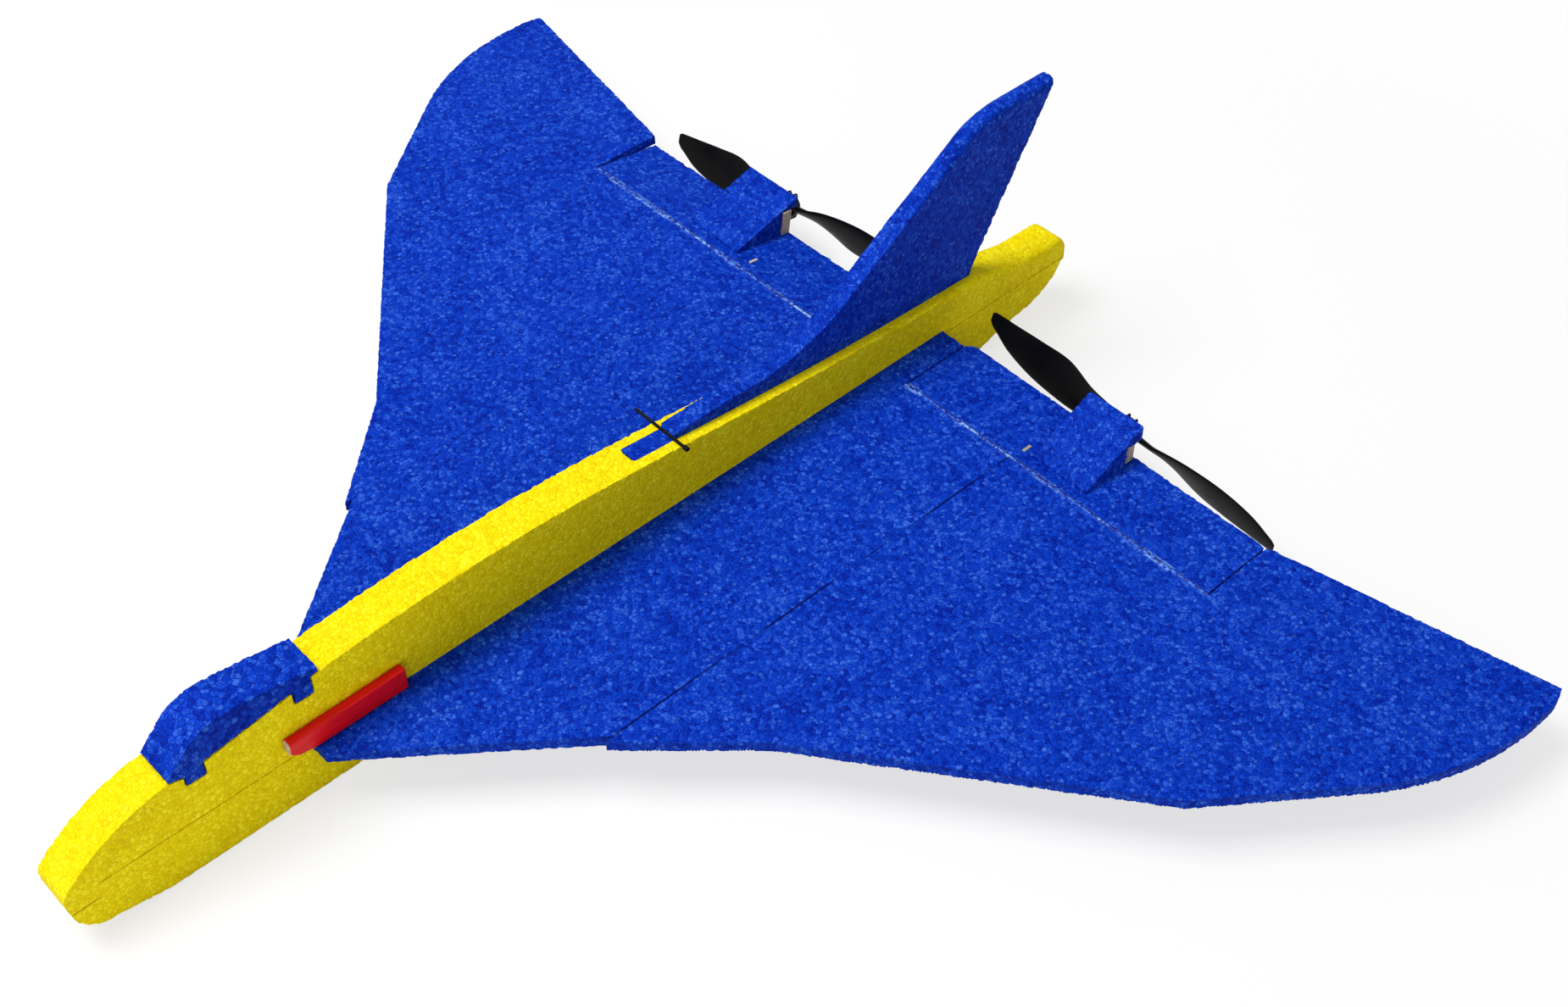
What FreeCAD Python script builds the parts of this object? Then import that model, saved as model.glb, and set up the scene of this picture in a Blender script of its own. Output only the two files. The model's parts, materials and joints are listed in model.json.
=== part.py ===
"""Twin-motor foam flying wing, modelled in millimetres.

Row frame: +X is the port wing, +Y points aft and +Z points up. The origin lies on the flat underside of
the keel, on the centreline, halfway between the nose and the tail.

Most pieces are drawn in the wing frame, whose origin is on the centreline where the elevon hinge line
crosses the wing's top surface, and then placed. Pieces carried by an elevon are placed through its hinge,
and pieces that spin are placed through the motor's axis as well.
"""

import FreeCAD
import Part
import Sketcher
import math
import os
from FreeCAD import Vector

SIZES = [
    # Overall lengths
    ("nose_to_hinge", 432.0),
    ("hinge_to_tail", 127.0),
    ("half_span", 337.0),
    # Foam stock
    ("fuselage_width", 20.0),
    ("wing_sheet", 6.0),
    ("fin_sheet", 9.6),
    # Fuselage side view: heights are above the wing's top surface
    ("keel_depth", 31.0),
    ("seam_drop", 3.0),
    ("nose_block_drop", 11.0),
    ("nose_block_length", 14.0),
    ("deck_joint_ahead", 158.7),
    ("deck_at_canopy", 35.0),
    ("deck_crown", 39.2),
    ("deck_at_joint", 35.6),
    ("deck_at_pin", 32.4),
    ("deck_at_fin_end", 19.0),
    ("deck_at_tail", 9.6),
    # Fuselage curves: distances back from the nose, ahead of the tail, and up or down from an edge
    ("nose_tip_back", 1.0),
    ("nose_tip_rise", 5.5),
    ("nose_shoulder_back", 0.6),
    ("nose_bow_back", 21.5),
    ("nose_bow_drop", 9.2),
    ("chin_bow_back", 4.2),
    ("chin_bow_drop", 9.5),
    ("chin_end_back", 18.0),
    ("chin_end_rise", 4.2),
    ("keel_flat_back", 40.0),
    ("keel_flat_ahead", 63.0),
    ("keel_bow_ahead", 49.0),
    ("keel_bow_rise", 4.4),
    ("heel_ahead", 28.0),
    ("heel_rise", 9.0),
    ("heel_bow_ahead", 7.0),
    ("heel_bow_drop", 9.5),
    ("tail_bow_ahead", 1.2),
    ("tail_bow_drop", 1.3),
    ("tail_round", 4.5),
    ("deck_step_ahead", 28.0),
    ("deck_step_rise", 0.8),
    ("deck_notch_back", 3.0),
    ("deck_notch_drop", 0.6),
    ("deck_bow_rise", 7.0),
    # Canopy
    ("canopy_from_nose", 50.4),
    ("canopy_length", 70.3),
    ("canopy_front_height", 25.5),
    ("canopy_crown", 44.0),
    ("canopy_back_height", 37.6),
    ("canopy_peak_ahead", 41.0),
    ("canopy_bow_ahead", 20.0),
    ("canopy_bow_drop", 2.6),
    ("canopy_screen_back", 11.5),
    ("canopy_screen_drop", 6.3),
    ("canopy_brow_back", 18.5),
    ("canopy_brow_drop", 1.9),
    ("canopy_key_inset", 7.3),
    ("canopy_key_end", 3.6),
    ("canopy_ledge_dip", 2.3),
    ("canopy_middle_dip", 0.4),
    ("canopy_rear_dip", 3.2),
    ("canopy_tail_dip", 0.8),
    ("canopy_key_length", 9.4),
    ("canopy_key_depth", 7.0),
    ("canopy_clearance", 0.37),
    # Wing plan
    ("apex_ahead", 321.5),
    ("apex_half_width", 18.7),
    ("panel_seam", 90.0),
    ("inner_edge_ahead", 232.5),
    ("outer_corner_ahead", 237.0),
    ("kink_out", 135.0),
    ("kink_ahead", 188.5),
    ("tip_width", 71.0),
    ("tip_kink_ahead", 89.3),
    ("tip_trail", 66.0),
    ("tip_corner_inset", 24.0),
    ("tip_corner_ahead", 93.5),
    ("tip_bow_inset", 5.2),
    ("tip_bow_ahead", 54.0),
    ("tip_side_end", 14.0),
    ("tip_heel_inset", 2.6),
    ("tip_heel_bow", 0.4),
    ("tip_heel_ahead", 6.0),
    ("trail_step", 0.7),
    ("stub_trail", 39.5),
    # Elevons and their hinges
    ("elevon_inner", 24.0),
    ("elevon_outer", 204.0),
    ("elevon_root_chord", 43.0),
    ("elevon_tip_chord", 40.0),
    ("elevon_end_gap", 0.5),
    ("elevon_front_gap", 0.9),
    ("elevon_bevel", 4.0),
    ("elevon_corner", 4.0),
    ("elevon_corner_run", 6.0),
    ("elevon_corner_bow", 1.6),
    ("elevon_corner_dip", 1.2),
    ("bead_radius", 0.5),
    ("hinge_sink", 0.3),
    ("starboard_droop", 7.5),
    # Fin and its cross pin
    ("fin_front_ahead", 147.0),
    ("fin_end_aft", 62.0),
    ("fin_slot_floor", 8.0),
    ("fin_height", 108.5),
    ("strake_height", 35.4),
    ("fin_lean", 49.5),
    ("fin_lean_top", 49.0),
    ("fin_top_round", 0.6),
    ("fin_foot_back", 2.5),
    ("fin_foot_rise", 5.5),
    ("fin_foot_lip", 1.0),
    ("fin_top_front", 18.0),
    ("fin_brow_back", 4.0),
    ("fin_brow_drop", 1.4),
    ("fin_shoulder_ahead", 9.0),
    ("fin_shoulder_drop", 6.4),
    ("fin_bow_aft", 14.0),
    ("fin_bow_drop", 34.9),
    ("fin_root_ahead", 27.0),
    ("fin_root_rise", 11.4),
    ("strake_bow_ahead", 50.0),
    ("strake_bow_rise", 2.6),
    ("strake_end_ahead", 88.0),
    ("strake_end_rise", 0.5),
    ("glue_gap", 0.05),
    ("pin_ahead", 124.9),
    ("pin_radius", 0.75),
    ("pin_port_stand", 1.5),
    ("pin_starboard_stand", 11.0),
    ("pin_cap_wall", 0.4),
    ("pin_cap_length", 2.6),
    # Intake strips
    ("strip_front_ahead", 333.5),
    ("strip_length", 56.5),
    ("strip_width", 4.5),
    ("strip_height", 11.8),
    ("strip_front_dip", 1.0),
    ("strip_front_floor", 4.5),
    ("strip_chin_back", 4.0),
    ("strip_chin_rise", 1.4),
    ("strip_foot_back", 12.5),
    # Spar
    ("spar_ahead", 95.0),
    ("spar_half_length", 225.0),
    ("spar_radius", 1.5),
    # Battery, receiver and speed controllers
    ("bay_front_gap", 2.3),
    ("bay_length", 35.0),
    ("bay_width", 13.0),
    ("bay_depth", 27.0),
    ("battery_length", 33.0),
    ("battery_width", 12.0),
    ("battery_height", 51.0),
    ("receiver_length", 24.0),
    ("receiver_width", 9.0),
    ("receiver_height", 15.0),
    ("receiver_floor", 4.5),
    ("receiver_setback", 9.0),
    ("controller_ahead", 260.0),
    ("controller_length", 28.0),
    ("controller_width", 5.5),
    ("controller_height", 14.5),
    ("controller_inset", 0.5),
    ("inside_clearance", 0.5),
    ("lead_channel", 6.0),
    # Servos and linkage
    ("horn_station", 92.0),
    ("linkage_arm", 14.0),
    ("plate_thickness", 1.5),
    ("servo_ahead", 60.0),
    ("servo_length", 20.0),
    ("servo_thickness", 8.5),
    ("servo_height", 17.0),
    ("servo_shaft_inset", 5.2),
    ("servo_turret", 3.5),
    ("servo_bore_depth", 3.0),
    ("servo_arm_gap", 0.4),
    ("servo_ear_reach", 4.5),
    ("servo_ear_drop", 4.0),
    ("servo_ear_thickness", 1.6),
    ("servo_ear_hole", 0.9),
    ("servo_stub_radius", 1.2),
    ("servo_stub_length", 2.8),
    ("arm_hub_radius", 2.9),
    ("arm_tip_radius", 1.9),
    ("arm_screw_radius", 1.6),
    ("arm_screw_head", 0.7),
    ("horn_front_aft", 7.0),
    ("horn_back_aft", 12.0),
    ("horn_top", 0.3),
    ("horn_shank_drop", 2.0),
    ("horn_hole_margin", 1.7),
    ("horn_nose_ahead", 2.2),
    ("horn_nose_rise", 0.9),
    ("horn_throat_drop", 0.6),
    ("horn_flange_thickness", 1.1),
    ("horn_flange_side", 3.0),
    ("horn_flange_front_aft", 5.5),
    ("horn_flange_back_aft", 14.0),
    ("pushrod_offset", 2.1),
    ("pushrod_tail", 3.5),
    ("pushrod_bend", 1.1),
    ("wire_radius", 0.6),
    ("pivot_clearance", 0.08),
    # Motor pods: cut by hand, so the two differ
    ("port_pod_station", 113.5),
    ("starboard_pod_station", 116.0),
    ("port_pod_inboard", 16.0),
    ("starboard_pod_inboard", 14.6),
    ("port_pod_outboard", 16.0),
    ("starboard_pod_outboard", 20.8),
    ("port_pod_height", 18.0),
    ("starboard_pod_height", 19.0),
    ("port_mount_height", 10.0),
    ("starboard_mount_height", 13.0),
    ("port_mount_aft", 34.5),
    ("starboard_mount_aft", 37.0),
    ("port_motor_height", -1.8),
    ("starboard_motor_height", 2.4),
    ("pod_front_aft", 7.0),
    ("pod_overhang", 5.0),
    ("pod_lip", 1.5),
    ("mount_thickness", 5.0),
    ("mount_drop", 12.0),
    ("mount_width", 31.0),
    ("mount_tab_width", 22.0),
    ("mount_shaft_hole", 3.0),
    ("motor_notch_margin", 2.5),
    ("motor_notch_depth", 9.0),
    # Motor and propeller
    ("motor_radius", 8.8),
    ("motor_base", 1.5),
    ("bell_length", 5.6),
    ("shaft_radius", 1.0),
    ("running_clearance", 0.05),
    ("base_inset", 0.8),
    ("core_inset", 2.2),
    ("core_lift", 1.6),
    ("core_end_gap", 1.6),
    ("bearing_radius", 2.4),
    ("bearing_end_gap", 1.4),
    ("bell_lift", 0.4),
    ("bell_wall", 1.1),
    ("bell_end", 1.2),
    ("shaft_front", 1.5),
    ("shaft_end", 3.0),
    ("motor_screw_from_rim", 2.8),
    ("motor_screw_radius", 0.75),
    ("motor_screw_head", 1.3),
    ("motor_screw_head_height", 0.5),
    ("motor_screw_inset", 0.4),
    ("saver_radius", 4.3),
    ("saver_length", 4.4),
    ("saver_spigot_radius", 2.2),
    ("saver_screw_radius", 0.75),
    ("saver_screw_start", 2.0),
    ("saver_screw_end", 0.4),
    ("propeller_radius", 87.0),
    ("propeller_pitch", 90.0),
    ("blade_chord", 21.0),
    ("blade_start", 4.6),
    ("blade_root_chord", 7.6),
    ("blade_root_thickness", 4.4),
    ("blade_root_angle", 40.0),
    ("blade_neck", 12.0),
    ("blade_neck_chord", 9.4),
    ("blade_neck_thickness", 3.6),
    ("hub_radius", 6.0),
    ("hub_length", 5.0),
    ("hub_gap", 0.1),
    ("ring_radius", 0.5),
    ("ring_half_gap", 2.2),
    ("ring_bend", 1.2),
    ("port_blade_angle", 5.8),
    ("starboard_blade_angle", 5.6),
]


class Dim:
    """A size that knows its value and the sheet expression that keeps it up to date."""

    def __init__(self, value, text):
        self.value = value
        self.text = text

    def __add__(self, other):
        other = dim(other)
        return Dim(self.value + other.value, f"({self.text} + {other.text})")

    def __radd__(self, other):
        return dim(other) + self

    def __sub__(self, other):
        other = dim(other)
        return Dim(self.value - other.value, f"({self.text} - {other.text})")

    def __rsub__(self, other):
        return dim(other) - self

    def __mul__(self, other):
        other = dim(other)
        return Dim(self.value * other.value, f"({self.text} * {other.text})")

    def __rmul__(self, other):
        return dim(other) * self

    def __truediv__(self, other):
        other = dim(other)
        return Dim(self.value / other.value, f"({self.text} / {other.text})")

    def __neg__(self):
        return Dim(-self.value, f"(-1 * {self.text})")


def dim(number):
    """Wrap a plain number, and pass a Dim through."""
    if isinstance(number, Dim):
        return number
    return Dim(float(number), f"({float(number)})")


class Sheet:
    """The spreadsheet of driving dimensions, read as attributes."""

    def __init__(self, document, rows):
        self.cells = document.addObject("Spreadsheet::Sheet", "Sizes")
        self.names = {}
        for row, (name, value) in enumerate(rows, start=1):
            self.cells.set(f"A{row}", name)
            self.cells.set(f"B{row}", str(value))
            self.cells.setAlias(f"B{row}", name)
            self.names[name] = value

    def __getattr__(self, name):
        return Dim(self.names[name], f"Sizes.{name}")


doc = FreeCAD.newDocument("flying_wing")
size = Sheet(doc, SIZES)
doc.recompute()
nodes = []

PORT = 1
STARBOARD = -1
SIDES = {"port": PORT, "starboard": STARBOARD}
ALONG_X = FreeCAD.Rotation(Vector(0, 1, 0), 90)
ALONG_Y = FreeCAD.Rotation(Vector(1, 0, 0), -90)
ALONG_Z = FreeCAD.Rotation()


# ---------------------------------------------------------------- drawing helpers


def bind(thing, prop, value):
    """Tie one property to the sheet."""
    thing.setExpression(prop, dim(value).text)


def new_body(label):
    body = doc.addObject("PartDesign::Body", label)
    body.Label = label
    nodes.append(body)
    return body


def plane_sketch(body, plane, offset=0.0):
    """A sketch on one of the body's origin planes, moved along that plane's normal."""
    sketch = body.newObject("Sketcher::SketchObject", "Sketch")
    support = [item for item in body.Origin.OriginFeatures if item.Role == plane]
    sketch.AttachmentSupport = [(support[0], "")]
    sketch.MapMode = "FlatFace"
    bind(sketch, "AttachmentOffset.Base.z", offset)
    return sketch


def flat(pair):
    return Vector(dim(pair[0]).value, dim(pair[1]).value, 0)


def bend_through(start, through, goal):
    """An arc drawn counter-clockwise, and whether it therefore runs from goal to start."""
    centre = Part.Arc(start, through, goal).toShape().Curve.Center
    clockwise = (through - start).cross(goal - through).z < 0
    ends = (goal, start) if clockwise else (start, goal)
    first, last = [math.atan2(end.y - centre.y, end.x - centre.x) for end in ends]
    if last < first:
        last += 2 * math.pi
    whole = Part.Circle(centre, Vector(0, 0, 1), (start - centre).Length)
    return Part.ArcOfCircle(whole, first, last), clockwise


def outline(sketch, start, *steps):
    """Draw a closed outline. A step of two sizes is a corner reached by a straight line.

    A step of four sizes is a bend: an arc through the first pair that ends on the second.
    Every corner and every point passed through is tied to the sheet.
    """
    rules = []
    ties = []

    def pin(index, end, pair):
        for kind, coordinate in zip(("DistanceX", "DistanceY"), pair):
            ties.append((len(rules), coordinate))
            rules.append(Sketcher.Constraint(kind, -1, 1, index, end, dim(coordinate).value))

    steps = list(steps)
    if (flat(steps[-1][-2:]) - flat(start)).Length > 1e-9:
        steps.append(start)
    here = start
    joins = []
    for step in steps:
        goal = step[-2:]
        if len(step) == 4:
            through = step[:2]
            arc, runs_back = bend_through(flat(here), flat(through), flat(goal))
            index = sketch.addGeometry(arc, False)
            mark = sketch.addGeometry(Part.Point(flat(through)), True)
            pin(mark, 1, through)
            rules.append(Sketcher.Constraint("PointOnObject", mark, 1, index))
        else:
            index = sketch.addGeometry(Part.LineSegment(flat(here), flat(goal)), False)
            runs_back = False
        joins.append((index, 2, 1) if runs_back else (index, 1, 2))
        pin(index, joins[-1][2], goal)
        here = goal
    for before, after in zip(joins, joins[1:] + joins[:1]):
        rules.append(Sketcher.Constraint("Coincident", before[0], before[2], after[0], after[1]))
    sketch.addConstraint(rules)
    for index, coordinate in ties:
        bind(sketch, f"Constraints[{index}]", coordinate)
    return sketch


def pad(body, sketch, length):
    feature = body.newObject("PartDesign::Pad", "Pad")
    feature.Profile = sketch
    bind(feature, "Length", length)
    return feature


def slab(body, plane, low, high, *path):
    """Pad one outline between two stations along its plane's normal."""
    return pad(body, outline(plane_sketch(body, plane, low), *path), dim(high) - low)


def side_slab(body, side, low, high, *path):
    """Pad a side-view outline between two distances from the centreline, on one side."""
    if side == STARBOARD:
        low, high = -dim(high), -dim(low)
    return slab(body, "YZ_Plane", low, high, *path)


def put(feature, corner):
    for axis, value in zip("xyz", corner):
        bind(feature, f"Placement.Base.{axis}", value)


def box(body, low, high, cut=False):
    """Add or cut the box between two corners."""
    kind = "PartDesign::SubtractiveBox" if cut else "PartDesign::AdditiveBox"
    feature = body.newObject(kind, "Box")
    put(feature, low)
    for prop, start, end in zip(("Length", "Width", "Height"), low, high):
        bind(feature, prop, dim(end) - start)
    return feature


def side_box(body, side, low, high, cut=False):
    """A box given by distances from the centreline, on one side."""
    if side == STARBOARD:
        low, high = (-dim(high[0]),) + tuple(low[1:]), (-dim(low[0]),) + tuple(high[1:])
    return box(body, low, high, cut)


def side_rod(body, side, inner, centre, radius, length, cut=False):
    """A cylinder along X that starts at a distance from the centreline, on one side."""
    start = dim(inner) if side == PORT else -(dim(inner) + length)
    return rod(body, ALONG_X, (start, *centre), radius, length, cut)


def rod(body, turn, base, radius, length, cut=False):
    """Add or cut a cylinder that starts at base and runs the way that turn points."""
    kind = "PartDesign::SubtractiveCylinder" if cut else "PartDesign::AdditiveCylinder"
    feature = body.newObject(kind, "Cylinder")
    feature.Placement = FreeCAD.Placement(Vector(), turn)
    put(feature, base)
    bind(feature, "Radius", radius)
    bind(feature, "Height", length)
    return feature


def rounded_path(corners, bend, closed=False):
    """A wire through the corners, with every turn rounded to one bend radius."""
    count = len(corners)
    turns = range(count) if closed else range(1, count - 1)
    bends = {}
    for index in turns:
        corner = corners[index]
        back = (corners[index - 1] - corner).normalize()
        on = (corners[(index + 1) % count] - corner).normalize()
        half = back.getAngle(on) / 2
        reach = bend / math.tan(half)
        middle = (back + on).normalize()
        centre = corner + middle * (reach ** 2 + bend ** 2) ** 0.5
        bends[index] = (corner + back * reach, centre - middle * bend, corner + on * reach)
    edges = []
    for index in range(count if closed else count - 1):
        after = (index + 1) % count
        start = bends[index][2] if index in bends else corners[index]
        end = bends[after][0] if after in bends else corners[after]
        if (end - start).Length > 1e-6:
            edges.append(Part.LineSegment(start, end).toShape())
        if after in bends:
            edges.append(Part.Arc(*bends[after]).toShape())
    return Part.Wire(edges)


def wire_solid(label, corners, bend, radius, closed=False):
    """A round wire swept along a path of straight runs and bends."""
    path = rounded_path(corners, bend, closed)
    first = path.OrderedEdges[0]
    start = first.valueAt(first.FirstParameter)
    section = Part.Wire(Part.Circle(start, first.tangentAt(first.FirstParameter), radius).toShape())
    piece = doc.addObject("Part::Feature", label)
    piece.Shape = path.makePipeShell([section], True, True)
    piece.Label = label
    nodes.append(piece)
    return piece


# ---------------------------------------------------------------- frames and placements


HINGE_Y = (size.nose_to_hinge - size.hinge_to_tail) / 2
WING_TOP = size.keel_depth
NOSE = -size.nose_to_hinge
TAIL = size.hinge_to_tail
HALF_WIDTH = size.fuselage_width / 2
SHEET = size.wing_sheet
HINGE_Z = -size.hinge_sink
CANOPY_FRONT = NOSE + size.canopy_from_nose
SHAFT_Z = -SHEET - size.servo_thickness / 2
SCREW_HOLE = size.motor_screw_radius + size.running_clearance
BELL_FRONT = size.motor_base + size.bell_lift
BELL_BACK = BELL_FRONT + size.bell_length
SAVER_MIDDLE = BELL_BACK + size.saver_length / 2
SAVER_BACK = BELL_BACK + size.saver_length
HUB_FRONT = SAVER_BACK + size.hub_gap
HUB_BACK = HUB_FRONT + size.hub_length
PAST = dim(1)

IN_AIRFRAME = f"placement(vector(0; {HINGE_Y.text}; {WING_TOP.text}); rotation(vector(1; 0; 0); 0))"


def droop(side):
    """How far this side's elevon hangs down at rest, in degrees."""
    return size.starboard_droop if side == STARBOARD else dim(0)


def turn_about_x(y, z, angle):
    """A rotation about a line along X, given in the wing frame."""
    out = f"placement(vector(0; {dim(y).text}; {dim(z).text}); rotation(vector(1; 0; 0); {angle.text}))"
    back = f"placement(vector(0; {(-dim(y)).text}; {(-dim(z)).text}); rotation(vector(1; 0; 0); 0))"
    return f"{out} * {back}"


def on_airframe(piece):
    piece.setExpression("Placement", IN_AIRFRAME)


def on_elevon(piece, side):
    piece.setExpression("Placement", f"{IN_AIRFRAME} * {turn_about_x(0, HINGE_Z, -droop(side))}")


def on_servo_shaft(piece, side):
    turn = turn_about_x(-size.servo_ahead, SHAFT_Z, -droop(side))
    piece.setExpression("Placement", f"{IN_AIRFRAME} * {turn}")


def on_pushrod(piece, side):
    """The pushrod keeps its direction and follows the tip of the servo arm."""
    arm = size.linkage_arm.text
    angle = f"({droop(side).text} * 1 deg)"
    shift = f"vector(0; -1 * {arm} * sin({angle}); {arm} * (1 - cos({angle})))"
    piece.setExpression("Placement", f"{IN_AIRFRAME} * placement({shift}; rotation(vector(1; 0; 0); 0))")


def of_pod(side, name):
    """A size that the port and starboard pods don't share."""
    return getattr(size, ("port_" if side == PORT else "starboard_") + name)


def motor_frame(side):
    """The frame of one motor: its origin is where the motor's axis leaves the mount's back face."""
    station = side * of_pod(side, "pod_station")
    back = of_pod(side, "mount_aft") + size.mount_thickness
    up = of_pod(side, "motor_height")
    centre = f"placement(vector({station.text}; {back.text}; {up.text}); rotation(vector(0; 1; 0); 0))"
    return f"{IN_AIRFRAME} * {turn_about_x(0, HINGE_Z, -droop(side))} * {centre}"


def on_motor(piece, side):
    piece.setExpression("Placement", motor_frame(side))


def on_rotor(piece, side, back=0.0):
    """Turned about the motor's axis to the angle at which the blades stopped, and moved along it."""
    rest = size.port_blade_angle if side == PORT else -size.starboard_blade_angle
    turn = f"placement(vector(0; {dim(back).text}; 0); rotation(vector(0; 1; 0); {rest.text}))"
    piece.setExpression("Placement", f"{motor_frame(side)} * {turn}")


# ---------------------------------------------------------------- fuselage and canopy


def canopy_floor(gap):
    """The stepped line between canopy and fuselage, from front to back, raised by a gap."""
    front = CANOPY_FRONT
    back = front + size.canopy_length
    first_key = front + size.canopy_key_inset
    second_end = back - size.canopy_key_end
    second_key = second_end - size.canopy_key_length
    ledge = size.canopy_front_height
    front_floor = ledge - size.canopy_ledge_dip + gap
    middle_floor = ledge - size.canopy_middle_dip + gap
    rear_floor = size.deck_at_canopy - size.canopy_rear_dip + gap
    return [
        (front + gap, ledge + gap),
        (first_key + gap, front_floor),
        (first_key + gap, middle_floor - size.canopy_key_depth),
        (first_key + size.canopy_key_length - gap, middle_floor - size.canopy_key_depth),
        (first_key + size.canopy_key_length - gap, middle_floor),
        (second_key + gap, rear_floor),
        (second_key + gap, rear_floor - size.canopy_key_depth),
        (second_end - gap, rear_floor - size.canopy_key_depth),
        (second_end - gap, size.deck_at_canopy - size.canopy_tail_dip + gap),
        (back, size.deck_at_canopy + gap),
    ]


def bay_span():
    """Front and back of the battery bay, between the two canopy sockets."""
    front = CANOPY_FRONT + size.canopy_key_inset + size.canopy_key_length + size.bay_front_gap
    return front, front + size.bay_length


def receiver_span():
    """Front and back of the receiver's pocket, which opens into the battery bay."""
    front = bay_span()[1]
    return front, front + size.receiver_setback + size.receiver_length + size.inside_clearance


def make_fuselage_front():
    body = new_body("fuselage_front")
    joint = -size.deck_joint_ahead
    apex = -size.apex_ahead
    seam = -size.seam_drop
    block = NOSE + size.nose_block_length
    chin = -size.nose_block_drop
    shoulder = NOSE + size.nose_shoulder_back
    brow = size.canopy_front_height
    slab(
        body, "YZ_Plane", -HALF_WIDTH, HALF_WIDTH,
        (joint, dim(0)),
        (apex, dim(0)),
        (apex, seam),
        (block, seam),
        (block, chin),
        (NOSE + size.nose_tip_back, chin),
        (NOSE, chin + size.nose_tip_rise, shoulder, size.nose_shoulder_back),
        (NOSE + size.nose_bow_back, brow - size.nose_bow_drop, CANOPY_FRONT, brow),
        *canopy_floor(dim(0))[1:],
        ((CANOPY_FRONT + size.canopy_length + joint) / 2, size.deck_crown, joint, size.deck_at_joint),
    )
    bay_front, bay_back = bay_span()
    half_bay = size.bay_width / 2
    box(body, (-half_bay, bay_front, seam - PAST), (half_bay, bay_back, size.canopy_crown), cut=True)
    radio_front, radio_back = receiver_span()
    half_radio = size.receiver_width / 2 + size.inside_clearance
    radio_top = size.receiver_floor + size.receiver_height + size.inside_clearance
    radio_floor = size.receiver_floor
    box(body, (-half_radio, radio_front - PAST, radio_floor), (half_radio, radio_back, radio_top), cut=True)
    half_channel = size.lead_channel / 2
    box(
        body,
        (-half_channel, radio_back - PAST, radio_floor),
        (half_channel, PAST - size.controller_ahead, radio_floor + size.lead_channel),
        cut=True,
    )
    half_pocket = size.controller_inset + size.controller_width + size.inside_clearance
    box(
        body,
        (-half_pocket, -size.controller_ahead, -PAST),
        (
            half_pocket,
            size.controller_length + 2 * size.inside_clearance - size.controller_ahead,
            size.controller_height + size.inside_clearance,
        ),
        cut=True,
    )
    on_airframe(body)


def make_fuselage_rear():
    body = new_body("fuselage_rear")
    joint = -size.deck_joint_ahead
    deck = size.deck_at_tail
    fin_foot = size.deck_at_fin_end
    slab(
        body, "YZ_Plane", -HALF_WIDTH, HALF_WIDTH,
        (joint, dim(0)),
        (size.stub_trail, dim(0)),
        (size.stub_trail, -size.seam_drop),
        (TAIL, -size.seam_drop),
        (TAIL, deck - size.tail_round),
        (TAIL - size.tail_bow_ahead, deck - size.tail_bow_drop, TAIL - size.tail_round, deck),
        (TAIL - size.deck_step_ahead, deck + size.deck_step_rise),
        (size.fin_end_aft + size.deck_notch_back, fin_foot - size.deck_notch_drop),
        (size.fin_end_aft, fin_foot),
        (-size.pin_ahead / 2, fin_foot + size.deck_bow_rise, -size.pin_ahead, size.deck_at_pin),
        (joint, size.deck_at_joint),
    )
    half_slot = size.fin_sheet / 2 + size.glue_gap
    box(
        body,
        (-half_slot, -size.fin_front_ahead - size.glue_gap, size.fin_slot_floor - size.glue_gap),
        (half_slot, size.fin_end_aft + size.glue_gap, size.deck_crown),
        cut=True,
    )
    on_airframe(body)


def make_fuselage_keel():
    body = new_body("fuselage_keel")
    apex = -size.apex_ahead
    seam = -size.seam_drop
    block = NOSE + size.nose_block_length
    chin = -size.nose_block_drop
    bottom = -size.keel_depth
    heel = TAIL - size.heel_ahead
    slab(
        body, "YZ_Plane", -HALF_WIDTH, HALF_WIDTH,
        (block, chin),
        (block, seam),
        (apex, seam),
        (apex, -SHEET),
        (size.stub_trail, -SHEET),
        (size.stub_trail, seam),
        (TAIL, seam),
        (TAIL - size.heel_bow_ahead, seam - size.heel_bow_drop, heel, bottom + size.heel_rise),
        (TAIL - size.keel_bow_ahead, bottom + size.keel_bow_rise, TAIL - size.keel_flat_ahead, bottom),
        (NOSE + size.keel_flat_back, bottom),
        (NOSE + size.chin_end_back, bottom + size.chin_end_rise),
        (NOSE + size.chin_bow_back, chin - size.chin_bow_drop, NOSE + size.nose_tip_back, chin),
    )
    bay_front, bay_back = bay_span()
    half_bay = size.bay_width / 2
    box(body, (-half_bay, bay_front, -size.bay_depth), (half_bay, bay_back, PAST), cut=True)
    on_airframe(body)


def make_canopy():
    body = new_body("canopy")
    back = CANOPY_FRONT + size.canopy_length
    crown = size.canopy_crown
    brow = CANOPY_FRONT + size.canopy_brow_back
    screen = CANOPY_FRONT + size.canopy_screen_back
    floor = canopy_floor(size.canopy_clearance)
    slab(
        body, "YZ_Plane", -HALF_WIDTH, HALF_WIDTH,
        *floor,
        (back, size.canopy_back_height),
        (back - size.canopy_bow_ahead, crown - size.canopy_bow_drop, back - size.canopy_peak_ahead, crown),
        (brow, crown - size.canopy_brow_drop, screen, crown - size.canopy_screen_drop),
    )
    on_airframe(body)


def make_intake_strip(name, side):
    body = new_body(f"intake_strip_{name}")
    front = -size.strip_front_ahead
    back = front + size.strip_length
    side_slab(
        body, side, HALF_WIDTH, HALF_WIDTH + size.strip_width,
        (front, size.strip_height - size.strip_front_dip),
        (front, size.strip_front_floor),
        (front + size.strip_chin_back, size.strip_chin_rise),
        (front + size.strip_foot_back, dim(0)),
        (back, dim(0)),
        (back, size.strip_height),
    )
    on_airframe(body)


# ---------------------------------------------------------------- wing and elevons


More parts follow.
